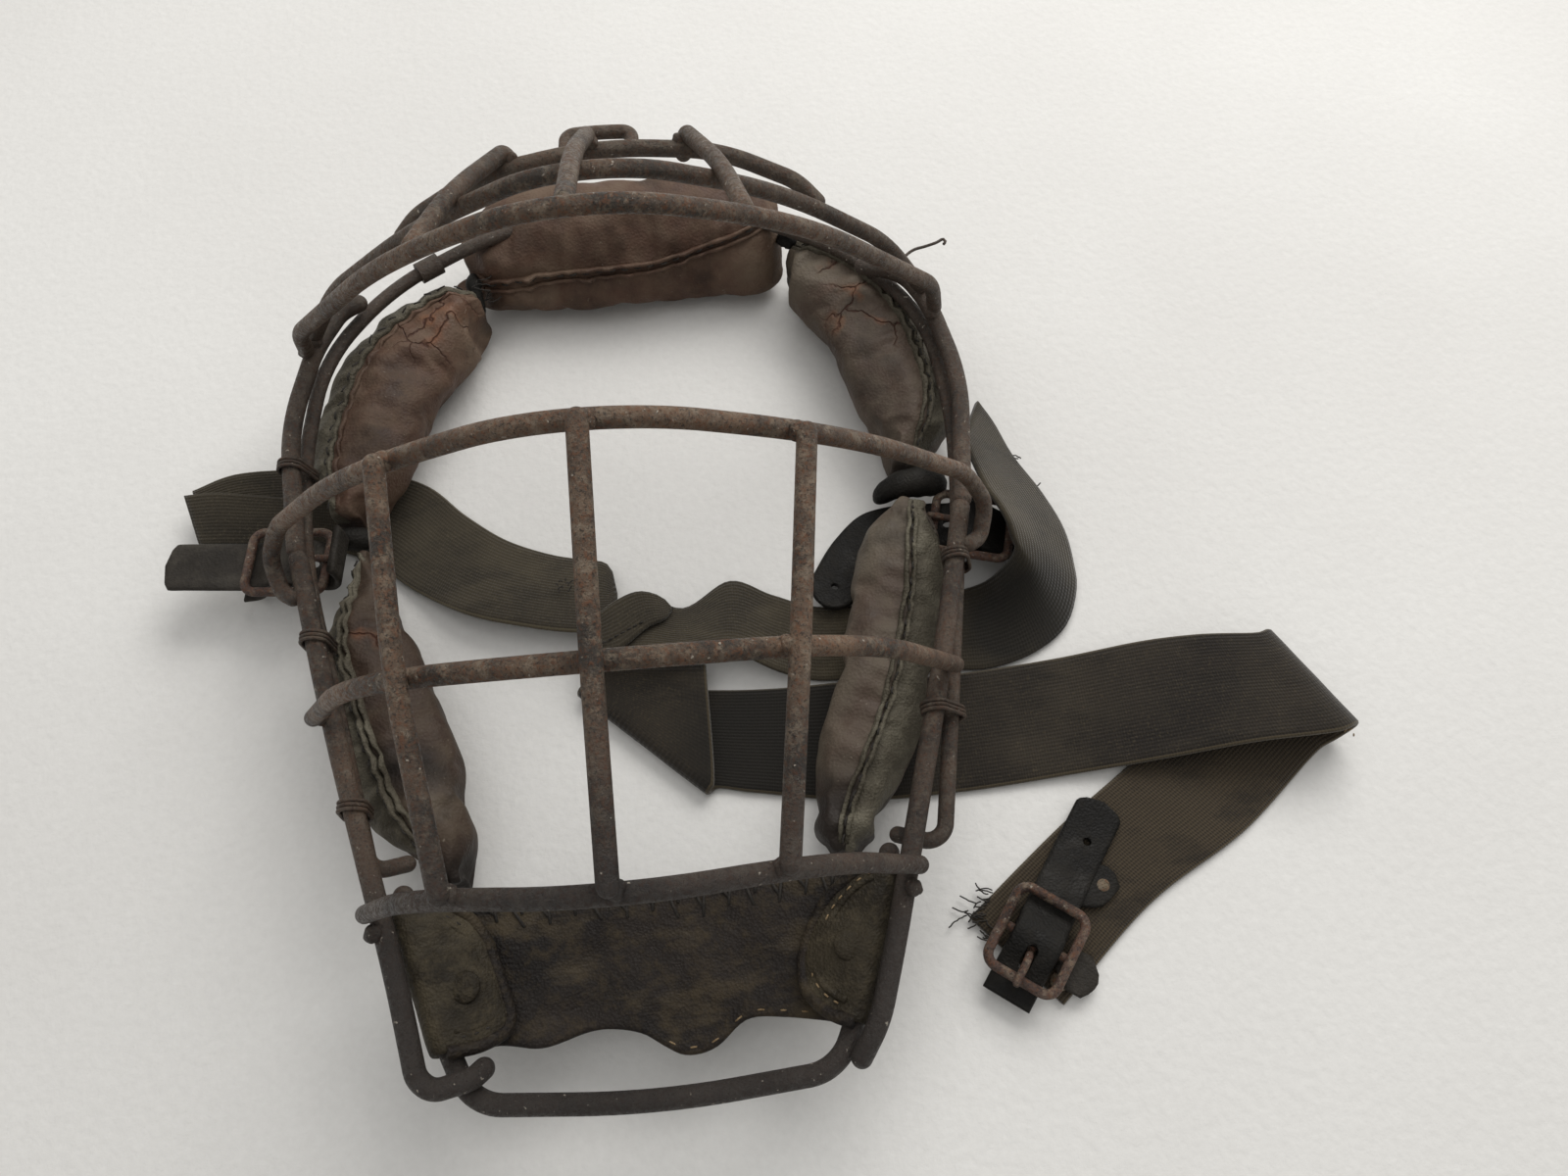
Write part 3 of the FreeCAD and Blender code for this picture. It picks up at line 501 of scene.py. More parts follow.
back_left = [
    (-145, 203, 8, -140.5, 186, 3), (-132, 208, 8, -126, 185, 2),
    (-112, 210, 5, -110, 184, 1), (-94, 211, WEB_Z, -98, 180, WEB_Z),
    (-72, 203, WEB_Z, -86, 174, WEB_Z), (-58, 190, WEB_Z, -72, 162, 3),
    (-44, 179, WEB_Z, -54, 150, 8), (-28, 172, WEB_Z, -32, 143, 9),
    (-8, 167, 2, -9, 139, 9),
]
back_right = [
    (-12, 143, 13, -12, 131, 13), (0, 150, 11, 0, 130, 14), (12, 146, 9, 12, 129, 13),
    (27, 157, 3, 27, 129, 10), (40, 152, WEB_Z, 40, 124, 5),
    (52, 147, WEB_Z, 52, 121.5, WEB_Z), (70, 146, WEB_Z, 70, 121.5, WEB_Z),
    (90, 147, WEB_Z, 90, 121.5, WEB_Z), (106, 149, 3, 106, 121, 1),
    (112, 150, 12, 120, 125, 1), (114.5, 151.5, 21, 131, 133, 1),
    (113.2, 154, 25, 136.5, 145, 1.5), (112.3, 158, 27, 137, 153, 2.5),
    (110, 164, 28, 135.5, 164.5, 5), (107.3, 170, 28, 130, 176.5, 8.5),
    (105.5, 178, 27, 121.5, 189, 13), (104.8, 184, 26, 116.5, 201, 16),
    (104.5, 190, 26, 112.5, 208, 18),
]
FOLD_STEPS = 6


def fold(near, far, out):
    """Stations round a fold line, from its ends as (x, y, high z, low z) and the way it bulges."""
    stations = []
    for k in range(FOLD_STEPS + 1):
        turn = pi * k / FOLD_STEPS
        station = ()
        for x, y, high, low in (far, near):
            r = (high - low) / 2
            push = r * sin(turn)
            station += (x + out[0] * push, y + out[1] * push, (high + low) / 2 + r * cos(turn))
        stations.append(station)
    return stations


crown = [(18, 127.5, 6.6, -20, 129, 6.6)]
crown += fold((-20, 125, 5.2, WEB_Z), (18, 90, 5.2, WEB_Z), (-0.707, -0.707))
crown += [
    (30, 88, WEB_Z, 30, 120.5, WEB_Z), (60, 83, WEB_Z, 60, 120.5, WEB_Z),
    (92, 83, WEB_Z, 92, 120, WEB_Z), (125, 85, 2.4, 125, 122, 1.8),
    (150, 86, 6.5, 150, 124, 5.0), (175, 87, 12, 168, 123.5, 8.5),
]
crown += fold((186, 121.5, 11, WEB_Z), (200, 87, 16.5, WEB_Z), (0.93, 0.36))
crown += [
    (170, 64, WEB_Z, 147, 91, WEB_Z), (139, 46.5, WEB_Z, 118, 71, WEB_Z),
    (109, 21.5, WEB_Z, 87, 47, WEB_Z),
]
left_web = band("back_webbing_left", back_left, WEB_T, BACK_WEB, seed=3.1, round_ends=(0, 6))
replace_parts(left_web, "back_strap_left")
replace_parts(band("back_webbing_right", back_right, WEB_T, BACK_WEB, seed=7.7), "back_strap_right")
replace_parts(band("crown_webbing", crown, WEB_T, CROWN_WEB, seed=1.3), "crown_strap")

# ---- leather billets and chapes, in each buckle's own frame ----
BILLET_T = 2.0
CHAPE_T = 1.2
BUCKLE_R = 1.4  # the frame's wire
BUCKLE_HALF_L = 12
CENTRE_BAR_DROP = 2.0
LOOP_OUT_R = 2.5  # outside radius of the chape round the centre bar
LOOP_STEPS, LOOP_STEP = 16, 22
CHAPE_HALF = 6.8
CHAPE_SLOT_HALF = 1.9  # half the gap that the tongue comes through
HOLE_SIDES, HOLE_DEPTH = 24, 6
SLOT_AT, SLOT_LONG, SLOT_WIDE = 5.6, 6.8, 3.2
WEAVE_LOW = -(BUCKLE_R + BILLET_T / 2 + 0.9)
WEAVE_HIGH = -CENTRE_BAR_DROP + LOOP_OUT_R + BILLET_T / 2 + 0.3
BUCKLES = {  # each buckle's centre and heading in degrees
    "left": ((-107, 168, 18.5), -5.0),
    "right": ((104.5, 164.5, 13.5), 165.0),
    "crown": ((103.2, 38.2, 8.2), -126.0),
}


def woven(u):
    """Height of a billet where it goes under the frame's ends and over the chape."""
    swing = (1 + cos(pi * u / BUCKLE_HALF_L)) / 2
    return WEAVE_LOW + (WEAVE_HIGH - WEAVE_LOW) * swing


def to_mask(which, u, v, w):
    """A point in a buckle's own frame, in mm, to the mask's frame in mm."""
    (x, y, z), heading = BUCKLES[which]
    c, s = cos(radians(heading)), sin(radians(heading))
    return (x + c * u - s * v, y + s * u + c * v, z + w)


def billet(which, width, before, after, material, ends):
    """A strap woven through a buckle, from (u, height, v, turn in degrees) with the last two often 0."""
    half = width / 2
    stations = []
    for spot in before + [(u, woven(u)) for u in range(-BUCKLE_HALF_L, BUCKLE_HALF_L + 1, 2)] + after:
        u, w, v, turn = (spot + (0, 0))[:4]
        su, sv = -half * sin(radians(turn)), half * cos(radians(turn))
        stations.append(to_mask(which, u + su, v + sv, w) + to_mask(which, u - su, v - sv, w))
    strap = band(which + "_billet_strap", stations, BILLET_T, material, step=1.0, across=14, wave=0.3,
                 seed=len(which), round_ends=ends)
    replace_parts(strap, which + "_billet")
    return strap


def pierce(obj, which, u, v, w, long, wide):
    """Cut a round-ended hole through a strap, square to its buckle's frame."""
    outline = []
    for k in range(HOLE_SIDES):
        turn = 2 * pi * k / HOLE_SIDES
        du = wide / 2 * cos(turn) + copysign((long - wide) / 2, cos(turn))
        outline.append((u + du, v + wide / 2 * sin(turn)))
    points = [at(*to_mask(which, a, b, w + z)) for z in (-HOLE_DEPTH, HOLE_DEPTH) for a, b in outline]
    n = HOLE_SIDES
    faces = [tuple(range(n)), tuple(range(n, 2 * n))]
    faces += [(k, (k + 1) % n, n + (k + 1) % n, n + k) for k in range(n)]
    cutter = add_mesh(obj.name + "_cutter", points, faces, obj.data.materials[0], body=None)
    cut = obj.modifiers.new("hole", "BOOLEAN")
    cut.operation = "DIFFERENCE"
    cut.solver = "EXACT"
    cut.object = cutter
    apply_modifiers(obj)
    bpy.data.objects.remove(cutter)


def apply_modifiers(obj):
    """Bake what an object's modifiers give into its mesh."""
    graph = bpy.context.evaluated_depsgraph_get()
    mesh = bpy.data.meshes.new_from_object(obj.evaluated_get(graph))
    obj.modifiers.clear()
    obj.data = mesh


left_run = [(14.6, WEAVE_LOW + 0.7), (16.8, 1.0), (17.2, 5.0), (16.8, 9.0)]
left_billet = billet("left", 16, [(-39, -3.6), (-26, -3.5)], left_run, SIDE_STRAP, (2.5, 0))
right_run = [(15, -4.6), (18, -5.8), (22.2, -7.2, 0.3, 10), (29.7, -8.4, 3.3, 40), (34.9, -9, 10.9, 62),
             (39, -9, 22.4, 75), (41.2, -8.8, 31.8, 77)]
right_billet = billet("right", 16, [(-17, WEAVE_LOW)], right_run, STRAP, (0, 8))
crown_billet = billet("crown", 14, [(-46, -4.7), (-34, -4.9), (-24, -4.6), (-17, -3.5)],
                      [(15, -4.2), (17.5, -4.5)], STRAP, (3.5, 0))
for strap, which in ((left_billet, "left"), (right_billet, "right"), (crown_billet, "crown")):
    pierce(strap, which, SLOT_AT, 0, 0, SLOT_LONG, SLOT_WIDE)
pierce(right_billet, "right", 39.6, 24.5, -9, 2.2, 2.2)
pierce(crown_billet, "crown", -33, 0.8, -4.8, 2.4, 2.4)


def chape(which, run, material):
    """A strip that comes up from under the frame and folds round its centre bar."""
    r = LOOP_OUT_R - CHAPE_T / 2
    line = list(reversed(run))
    for k in range(LOOP_STEPS):
        turn = radians(LOOP_STEP * k)
        line.append((r * sin(turn), -CENTRE_BAR_DROP - r * cos(turn)))
    sides = []
    for low_v, high_v in ((-CHAPE_HALF, -CHAPE_SLOT_HALF), (CHAPE_SLOT_HALF, CHAPE_HALF)):
        stations = [to_mask(which, u, high_v, w) + to_mask(which, u, low_v, w) for u, w in line]
        sides.append(band(which + "_chape_side", stations, CHAPE_T, material, step=0.8, across=6, wave=0.05))
    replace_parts(join(which + "_chape_strip", sides), which + "_chape")


chape("left", [(-5, -5.6), (-12, -12.4), (-18, -14.4)], SIDE_STRAP)
chape("right", [(-5, -5.3), (-9, -5.3)], STRAP)
chape("crown", [(-5, -5.3), (-14, -5.3)], STRAP)

# ---- stuffed pads ----
PAD_FLOOR = 2.5
PAD_ROUND = 40  # points round a section
PAD_STEP = 2.2
UNDER_SHARE = 0.8  # how deep a pad hangs below its middle, against its height above it
SQUARENESS = 0.82  # 1 would make sections round
BROW_LEAN = 6.0  # how far the brow pad's top leans towards the forehead
SWELL_CAP = 3.0  # the most that the cloth may move, in mm
SWELL_FRAMES = 20
PUCKER, PUCKER_REACH = 0.7, 3.2  # gathers beside the seam: mm and columns
VALLEY, VALLEY_REACH = 1.3, 1.6  # the dip that the seam lies in
LOW_LIPS = 0.55  # the left temple pad's seam stands less proud
MASK_MIDDLE = Vector((0, 170, 0))
SEAM = 8  # column of every section that lies on the seam
UNDERSIDE = (235, 305)  # held while the cover swells: angles round the section, from outwards, in degrees
EDGE_TO = 140  # the paler edge leather reaches this far round
# Each pad: sections (x, y, half width), half height, seam's angle at start, middle and end, leather.
pads = {
    "brow_pad": ([(-57, 284, 5), (-48, 284, 13), (-25, 285, 16), (0, 286, 17), (25, 286, 16), (46, 284, 13),
                  (55, 285, 5)], 16.8, (176, 164, 118), PAD_RED),
    "temple_pad_right": ([(57, 277, 5), (66, 269, 14), (79, 251, 16.5), (87, 228, 16.5), (89.5, 204, 13.5),
                          (86, 186, 5)], 13.5, (92, 64, 66), PAD_TAN),
    "temple_pad_left": ([(-50, 264, 5), (-60, 258, 14), (-75, 243, 17), (-84, 222, 16.5), (-88, 200, 14),
                         (-91, 181, 5)], 13.5, (76, 66, 68), PAD_RED),
    "cheek_pad_right": ([(86, 173, 5), (82, 160, 11), (77, 138, 13.5), (70, 115, 13), (62, 93, 12),
                         (55.5, 76, 9), (54, 70, 8.5), (53, 63.5, 4)], 13.5, (82, 76, 92), PAD_TAN),
    "cheek_pad_left": ([(-84.5, 171, 3), (-83, 158, 6.5), (-81.5, 138, 12.5), (-74, 115, 14), (-66, 93, 13.5),
                        (-57, 75, 9), (-53, 64, 4)], 13.0, (64, 66, 70), PAD_DARK_AND_SHADED),
}
# Spaces under the right pads for the buckle and its billet: x, y from and to, and the height kept free.
KEPT_CLEAR = 0.6
KEPT_FREE = ((87, 147, 116, 183, 20), (66, 148, 100, 183, 11.5), (46, 130, 80, 174, 8.5))


def pad_floor(name, spot):
    """The lowest a pad's cover may hang at a point, in metres."""
    x, y = spot.x / MM, spot.y / MM + CHIN_TO_ORIGIN
    floor = PAD_FLOOR
    for x0, y0, x1, y1, top in KEPT_FREE:
        if name.endswith("right") and x0 < x < x1 and y0 < y < y1:
            floor = max(floor, top + KEPT_CLEAR)
    return floor * MM


def pad_place(row):
    return Vector((row[0], row[1], 0))


def seam_angle(angles, share):
    """The seam's angle from outwards, in degrees, at a share of the pad's length."""
    first, middle, last = angles
    if share < 0.5:
        return first + (middle - first) * sin(pi * share)
    return middle + (last - middle) * (1 - sin(pi * share))


def fuller(value):
    """A sine or cosine pushed outwards, for a squarer section."""
    return copysign(abs(value) ** SQUARENESS, value)


def pad_surface(stations, tall, lean, angles):
    """Rings of points in mm round a pad's centre line, with column SEAM on the seam."""
    rows = smooth(stations, PAD_STEP, pad_place)
    rings, turns = [], []
    for k, (x, y, half) in enumerate(rows):
        ahead = pad_place(rows[min(k + 1, len(rows) - 1)]) - pad_place(rows[max(k - 1, 0)])
        side = Vector((ahead.y, -ahead.x, 0)).normalized()
        if side.dot(pad_place(rows[k]) - MASK_MIDDLE) < 0:
            side = -side
        high = tall * min(1.0, 0.3 + half / 17.0)  # lower where it is narrower
        if lean:  # and the brow pad's left end is half as high
            high *= 1 - 0.5 * exp(-(k / (len(rows) - 1) / 0.13) ** 2)
        ring, ring_turns = [], []
        start = radians(seam_angle(angles, k / (len(rows) - 1)))
        for j in range(PAD_ROUND):
            turn = start + 2 * pi * (j - SEAM) / PAD_ROUND
            c, s = fuller(cos(turn)), fuller(sin(turn))
            spot = Vector((x, y + lean * s, PAD_FLOOR + UNDER_SHARE * tall)) + side * (half * c)
            spot.z += high * s if s > 0 else UNDER_SHARE * tall * s * min(1.0, 0.4 + half / 14.0)
            ring.append(spot)
            ring_turns.append(degrees(turn) % 360)
        rings.append(ring)
        turns.append(ring_turns)
    return rings, turns


def inflate(obj, pinned, cap):
    """Blow a leather cover up from inside with the pinned points held, and cap how far it moves."""
    group = obj.vertex_groups.new(name="held")
    group.add(pinned, 1.0, "REPLACE")
    cloth = obj.modifiers.new("Cloth", "CLOTH")
    s = cloth.settings
    s.use_pressure = True
    s.uniform_pressure_force = 4.0
    s.mass = 0.3
    s.quality = 6
    s.tension_stiffness = s.compression_stiffness = 12
    s.shear_stiffness = 8
    s.bending_stiffness = 0.8
    s.shrink_min = -0.05
    s.vertex_group_mass = "held"
    s.effector_weights.gravity = 0
    for frame_number in range(1, SWELL_FRAMES + 1):
        scene.frame_set(frame_number)
    graph = bpy.context.evaluated_depsgraph_get()
    swollen = obj.evaluated_get(graph).to_mesh()
    moved = [v.co.copy() for v in swollen.vertices]
    obj.evaluated_get(graph).to_mesh_clear()
    obj.modifiers.clear()
    for v, spot in zip(obj.data.vertices, moved):
        push = spot - v.co
        if push.length > cap:
            push = push.normalized() * cap
        v.co += push
    scene.frame_set(1)


LIP_SECTION = ((-0.5, -1.2), (-0.55, 0.4), (-0.42, 0.85), (0, 1.0), (0.42, 0.85), (0.55, 0.4), (0.5, -1.2))


def fin(name, spots, normals, tall, thick, seed, material):
    """A raised lip of leather along a seam, as wavy as a gathered edge."""
    points = []
    for k, (p, n) in enumerate(zip(spots, normals)):
        ahead = (spots[min(k + 1, len(spots) - 1)] - spots[max(k - 1, 0)]).normalized()
        over = ahead.cross(n).normalized()
        sway = over * (1.3 * MM * bumpy(k * 0.31, seed, 0))
        grow = min(1.0, 0.25 + 0.16 * min(k, len(spots) - 1 - k))
        h = tall * grow * (1 + 0.7 * bumpy(k * 0.6, seed + 5, 0))
        for dv, dn in LIP_SECTION:
            points.append(p + over * (dv * thick) + n * (dn * h) + sway * max(dn, 0))
    return loft(name, points, len(LIP_SECTION), material)


def build_pad(name, stations, tall, angles, leather):
    """One stuffed pad: its cover, blown up and puckered at the seam, the seam's two lips and its stitches."""
    lean = BROW_LEAN if name == "brow_pad" else 0.0
    rings, turns = pad_surface(stations, tall, lean, angles)
    points = [at(*p) for ring in rings for p in ring]
    obj = loft(name + "_leather", points, PAD_ROUND, leather)
    obj.data.materials.append(PAD_EDGE)
    if name != "brow_pad":
        for face in obj.data.polygons:
            spots = [v for v in face.vertices if v < len(rings) * PAD_ROUND]
            columns = [v % PAD_ROUND for v in spots]
            facing = [turns[v // PAD_ROUND][v % PAD_ROUND] for v in spots]
            if max(columns) <= SEAM and max(facing) < EDGE_TO:
                face.material_index = 1
    pinned = [k * PAD_ROUND + SEAM + d for k in range(len(rings)) for d in (0, 1)]
    pinned += [k * PAD_ROUND + j for k in range(len(rings)) for j in range(PAD_ROUND)
               if UNDERSIDE[0] < turns[k][j] < UNDERSIDE[1]]
    inflate(obj, pinned, SWELL_CAP * MM)
    mesh = obj.data
    normals = [v.normal.copy() for v in mesh.vertices]
    for k in range(len(rings)):
        for j in range(PAD_ROUND):
            v = mesh.vertices[k * PAD_ROUND + j]
            away = min(abs(j - SEAM), abs(j - SEAM - 1))
            gathers = PUCKER * (sin(k * 2.1) + noise.noise(v.co * 300))
            pucker = exp(-(away / PUCKER_REACH) ** 2) * gathers
            valley = -VALLEY * exp(-(away / VALLEY_REACH) ** 2)
            soft = 1.1 * noise.noise(v.co * 55) + 0.5 * noise.noise(v.co * 150)
            v.co += normals[v.index] * ((pucker + valley + soft) * MM)
            v.co.z = max(v.co.z, pad_floor(name, v.co))
    finer(obj)
    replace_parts(obj, name, name + "_stuffing")
    seam = [k * PAD_ROUND + SEAM for k in range(1, len(rings) - 1)]
    spots = [mesh.vertices[i].co.copy() for i in seam]
    other = [mesh.vertices[i + 1].co.copy() for i in seam]
    out = [normals[i] for i in seam]
    low = LOW_LIPS if name == "temple_pad_left" else 1.0
    inner = leather if name in ("brow_pad", "temple_pad_left") else PAD_EDGE
    outer = leather if name == "brow_pad" else PAD_EDGE
    lips = [fin(name + "_lip_a", spots, out, 2.2 * low * MM, 1.3 * MM, 1.0, outer),
            fin(name + "_lip_b", other, out, 1.8 * low * MM, 1.2 * MM, 4.0, inner)]
    join(name + "_seam", lips)
    seam_stitches(name, spots, out)


def seam_stitches(name, spots, out):
    """Short dark stitches beside a seam, one for every second pair of points."""
    parts = []
    for k in range(1, len(spots) - 1, 2):
        a = spots[k] + out[k] * (1.5 * MM)
        b = spots[k + 1] + out[k + 1] * (1.7 * MM)
        side = (spots[k + 1] - spots[k - 1]).cross(out[k]).normalized() * (0.9 * MM)
        mid = (a + b) / 2 + side * 1.05
        line = [a + side * 0.7, mid, b + side * 0.7]
        parts.append(tube(name + "_stitch", line, 0.28 * MM, DARK_THREAD, count=6))
    join(name + "_stitches", parts)


for pad_name, pad in pads.items():
    build_pad(pad_name, *pad)

ear = [(-50, 276, 15.5, -51, 270.5, 14), (-55, 277.5, 15, -56, 271.5, 13),
       (-60, 277, 14, -61, 273.5, 12.6)]
band("brow_pad_ear", ear, 1.8, PAD_RED, step=1.0, seed=6.1, round_ends=(0, 4))

# ---- chin sling ----
SLING_T = 2.2
SLING_TURN_R = 4.25
SLING_SAG = 6.0
SLING_TOP, SLING_MIDDLE, SLING_LOWEST = 58.5, 36, 16  # y of its top edge, middle and lowest point
SLING_ROWS = 22
FLAP_LONG, FLAP_GAP = 17.0, 0.9
FLAP_STEPS, TURN_STEPS, BELLY_STEPS = 8, 8, 36
SIDE_COLUMNS = 1 + FLAP_STEPS + TURN_STEPS  # a section's columns in one flap and turn
FLAP_CORNERS = ((5.5, 11, 8), (8.5, 17, 14))  # left, right: columns, mm off its top and bottom
RIVET_BUMPS = ((-46.9, 36.3), (50.6, 37.9))  # rivets under the flaps push the leather up
FLAPS_ABOVE = 28  # only the flaps are this high
DOME_HIGH, DOME_R, DOME_RINGS, DOME_SIDES = 1.5, 4.1, 7, 20
# The chin wire's leg at a few heights, (y, x, z), and the sling's lower edge, (x, y).
LEG = ((16, 48.3, 26.2), (24, 51.5, 26.6), (40, 56.9, 27.0), (58.5, 63.2, 27.35))
HEM = [(-70, 19), (-52, 21.5), (-42, 22.5), (-33, 21), (-17, 24.5), (-5, 23), (7, 16.5), (18, 18), (24, 23.5),
       (40, 22.5), (70, 16)]
hem_rows = smooth(HEM, 1.0, Vector)


def leg_at(y):
    for (y0, x0, z0), (y1, x1, z1) in zip(LEG, LEG[1:]):
        if y <= y1 or y1 == LEG[-1][0]:
            t = (y - y0) / (y1 - y0)
            return x0 + (x1 - x0) * t, z0 + (z1 - z0) * t


def hem_y(x):
    return min(hem_rows, key=lambda r: abs(r[0] - x))[1]


def sling_section(y):
    """The section line at one Y as (x, z, part), from the left flap's tip to the right one's."""
    leg, z = leg_at(y)

    def belly(x):
        return z - SLING_TURN_R - SLING_SAG * (1 - (x / leg) ** 2)

    tip = leg - FLAP_LONG
    tip_z = belly(tip) + SLING_T + FLAP_GAP
    sides = []
    for side in (-1, 1):
        half = []
        for k in range(FLAP_STEPS + 1):
            t = k / FLAP_STEPS
            rise = (z + SLING_TURN_R - tip_z) * t ** 0.75
            half.append((side * (tip + (leg - tip) * t), tip_z + rise, "flap"))
        for k in range(1, TURN_STEPS + 1):
            turn = radians(90 - 180 * k / TURN_STEPS)
            half.append((side * (leg + SLING_TURN_R * cos(turn)), z + SLING_TURN_R * sin(turn), "turn"))
        sides.append(half)
    middle = [-leg + 2 * leg * k / BELLY_STEPS for k in range(1, BELLY_STEPS)]
    return sides[0] + [(x, belly(x), "belly") for x in middle] + sides[1][::-1]


def sling_points():
    """A grid of points in mm on the sling's middle surface: rows go down, columns from flap to flap."""
    middle = sling_section(SLING_MIDDLE)
    columns = len(middle)
    grid = []
    for r in range(SLING_ROWS + 1):
        share = r / SLING_ROWS
        row = []
        for c, (x_mid, _, part) in enumerate(middle):
            top = SLING_TOP - 0.6 * bumpy(x_mid / 9, 2.0, 0)
            bottom = hem_y(x_mid)
            if part == "flap":
                tip_gap = min(c, columns - 1 - c)
                reach, off_top, off_bottom = FLAP_CORNERS[c > columns / 2]
                pull = 1 - sqrt(max(1 - ((reach - tip_gap) / reach) ** 2, 0)) if tip_gap < reach else 0
                top -= pull * off_top
                bottom += pull * off_bottom
            y = top + (bottom - top) * share
            x, z, _ = sling_section(max(min(y, SLING_TOP), SLING_LOWEST))[c]
            z += 0.9 * bumpy(x / 11, y / 8, 1.7) + 0.35 * bumpy(x / 4, y / 4, 9)
            if part == "flap":
                for bump_x, bump_y in RIVET_BUMPS:
                    z += 1.2 * exp(-(hypot(x - bump_x, y - bump_y) / 6.0) ** 2)
            elif part == "belly":
                z += 0.8 * max(0, share - 0.85) / 0.15  # its lower edge curls up
            row.append(Vector((x, y, z)))
        grid.append(row)
    return grid


def sling_mesh(grid):
    rows, columns = SLING_ROWS, len(grid[0])
    half_thick = SLING_T / 2
    outer, inner = [], []
    for r, row in enumerate(grid):
        for c, p in enumerate(row):
            du = row[min(c + 1, columns - 1)] - row[max(c - 1, 0)]
            dv = grid[min(r + 1, rows)][c] - grid[max(r - 1, 0)][c]
            normal = du.cross(dv).normalized()
            outer.append(at(*(p + normal * half_thick)))
            inner.append(at(*(p - normal * half_thick)))
    n = len(outer)
    faces = []
    for r in range(rows):
        for c in range(columns - 1):
            a = r * columns + c
            b = a + columns
            faces.append((a, a + 1, b + 1, b))
            faces.append((n + a, n + b, n + b + 1, n + a + 1))
    rim = list(range(columns)) + [r * columns + columns - 1 for r in range(1, rows + 1)]
    rim += [rows * columns + c for c in range(columns - 2, -1, -1)]
    rim += [r * columns for r in range(rows - 1, 0, -1)]
    for a, b in zip(rim, rim[1:] + rim[:1]):
        faces.append((a, b, n + b, n + a))
    obj = add_mesh("chin_sling_leather", outer + inner, faces, SLING)
    obj.data.materials.append(FLAP)
    for face in obj.data.polygons:
        column = [v % n % columns for v in face.vertices]
        if max(column) < SIDE_COLUMNS or min(column) >= columns - SIDE_COLUMNS:
            face.material_index = 1
    finer(obj)
    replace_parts(obj, "chin_sling", "chin_lining")


sling_grid = sling_points()
sling_columns = len(sling_grid[0])
sling_mesh(sling_grid)


def raised(spot, lift):
    return spot + Vector((0, 0, lift))


def edge_stitches(name, pairs, radius, material, lift=1.4):
    """One object of stitches between pairs of points in mm."""
    parts = []
    for a, b in pairs:
        line = [raised(a, lift * 0.75), raised((a + b) / 2, lift), raised(b, lift * 0.8)]
        parts.append(tube(name, [at(*p) for p in line], radius * MM, material, count=6))
    join(name, parts)


# The slits in the top edge are of three lengths, in turn.
belly_columns = range(SIDE_COLUMNS + 2, sling_columns - SIDE_COLUMNS - 3)
pairs = [(sling_grid[0][c] + Vector((0, 0.6, 0)), sling_grid[2 + (c * 7) % 3][c + c % 2])
         for c in belly_columns]
edge_stitches("sling_edge_stitches", pairs, 0.42, DARK_THREAD)
above_hem = sling_grid[-2]
pairs = [(above_hem[c], above_hem[c + 1] * 0.6 + above_hem[c] * 0.4) for c in belly_columns[::2]
         if above_hem[c].x > 2]
edge_stitches("sling_hem_stitches", pairs, 0.25, TAN_THREAD, 1.2)


def flap_trim(side_name, base, step, stitch_thread):
    """The welts round a flap's tip and the stitches between them."""
    rim = [sling_grid[0][base + step * c] for c in range(FLAP_STEPS, 0, -1)]
    rim += [row[base] for row in sling_grid]
    rim += [sling_grid[-1][base + step * c] for c in range(1, FLAP_STEPS + 1)]
    rim = [Vector(q) for q in smooth(rim, 0.8, Vector)]
    tube("flap_welt_" + side_name, [at(x, y, z + 0.4) for x, y, z in rim], 1.7 * MM, SLING)
    middle = sling_grid[SLING_ROWS // 2][base + step * 5]
    line = [q + (middle - q).normalized() * 3.0 for q in rim[4:-4]]
    pairs = [(line[k], line[k + 2]) for k in range(0, len(line) - 2, 5)]
    edge_stitches("flap_stitches_" + side_name, pairs, 0.26, stitch_thread, 1.3)
    inner = [raised(q + (middle - q).normalized() * 4.6, 0.5) for q in rim[3:-3]]
    tube("flap_inner_welt_" + side_name, [at(*q) for q in inner], 1.0 * MM, FLAP, count=8)


def rivet_bump(side_name, bump_x, bump_y):
    """The low dome that a rivet head under a flap pushes up."""
    top = min((q for row in sling_grid for q in row if q.z > FLAPS_ABOVE),
              key=lambda q: hypot(q.x - bump_x, q.y - bump_y)).z
    dome = []
    for k in range(DOME_RINGS):
        turn = radians(8 + 80 * k / (DOME_RINGS - 1))
        for j in range(DOME_SIDES):
            swing = 2 * pi * j / DOME_SIDES
            rise = DOME_HIGH * cos(turn) + 0.25 * bumpy(k, cos(swing), sin(swing))
            reach = DOME_R * sin(turn)
            dome.append(at(bump_x + reach * cos(swing), bump_y + reach * sin(swing),
                           top + SLING_T / 2 - 0.2 + rise))
    loft("flap_rivet_bump_" + side_name, dome, DOME_SIDES, FLAP)


flap_trim("left", 0, 1, DARK_THREAD)
flap_trim("right", sling_columns - 1, -1, TAN_THREAD)
rivet_bump("left", *RIVET_BUMPS[0])
rivet_bump("right", *RIVET_BUMPS[1])

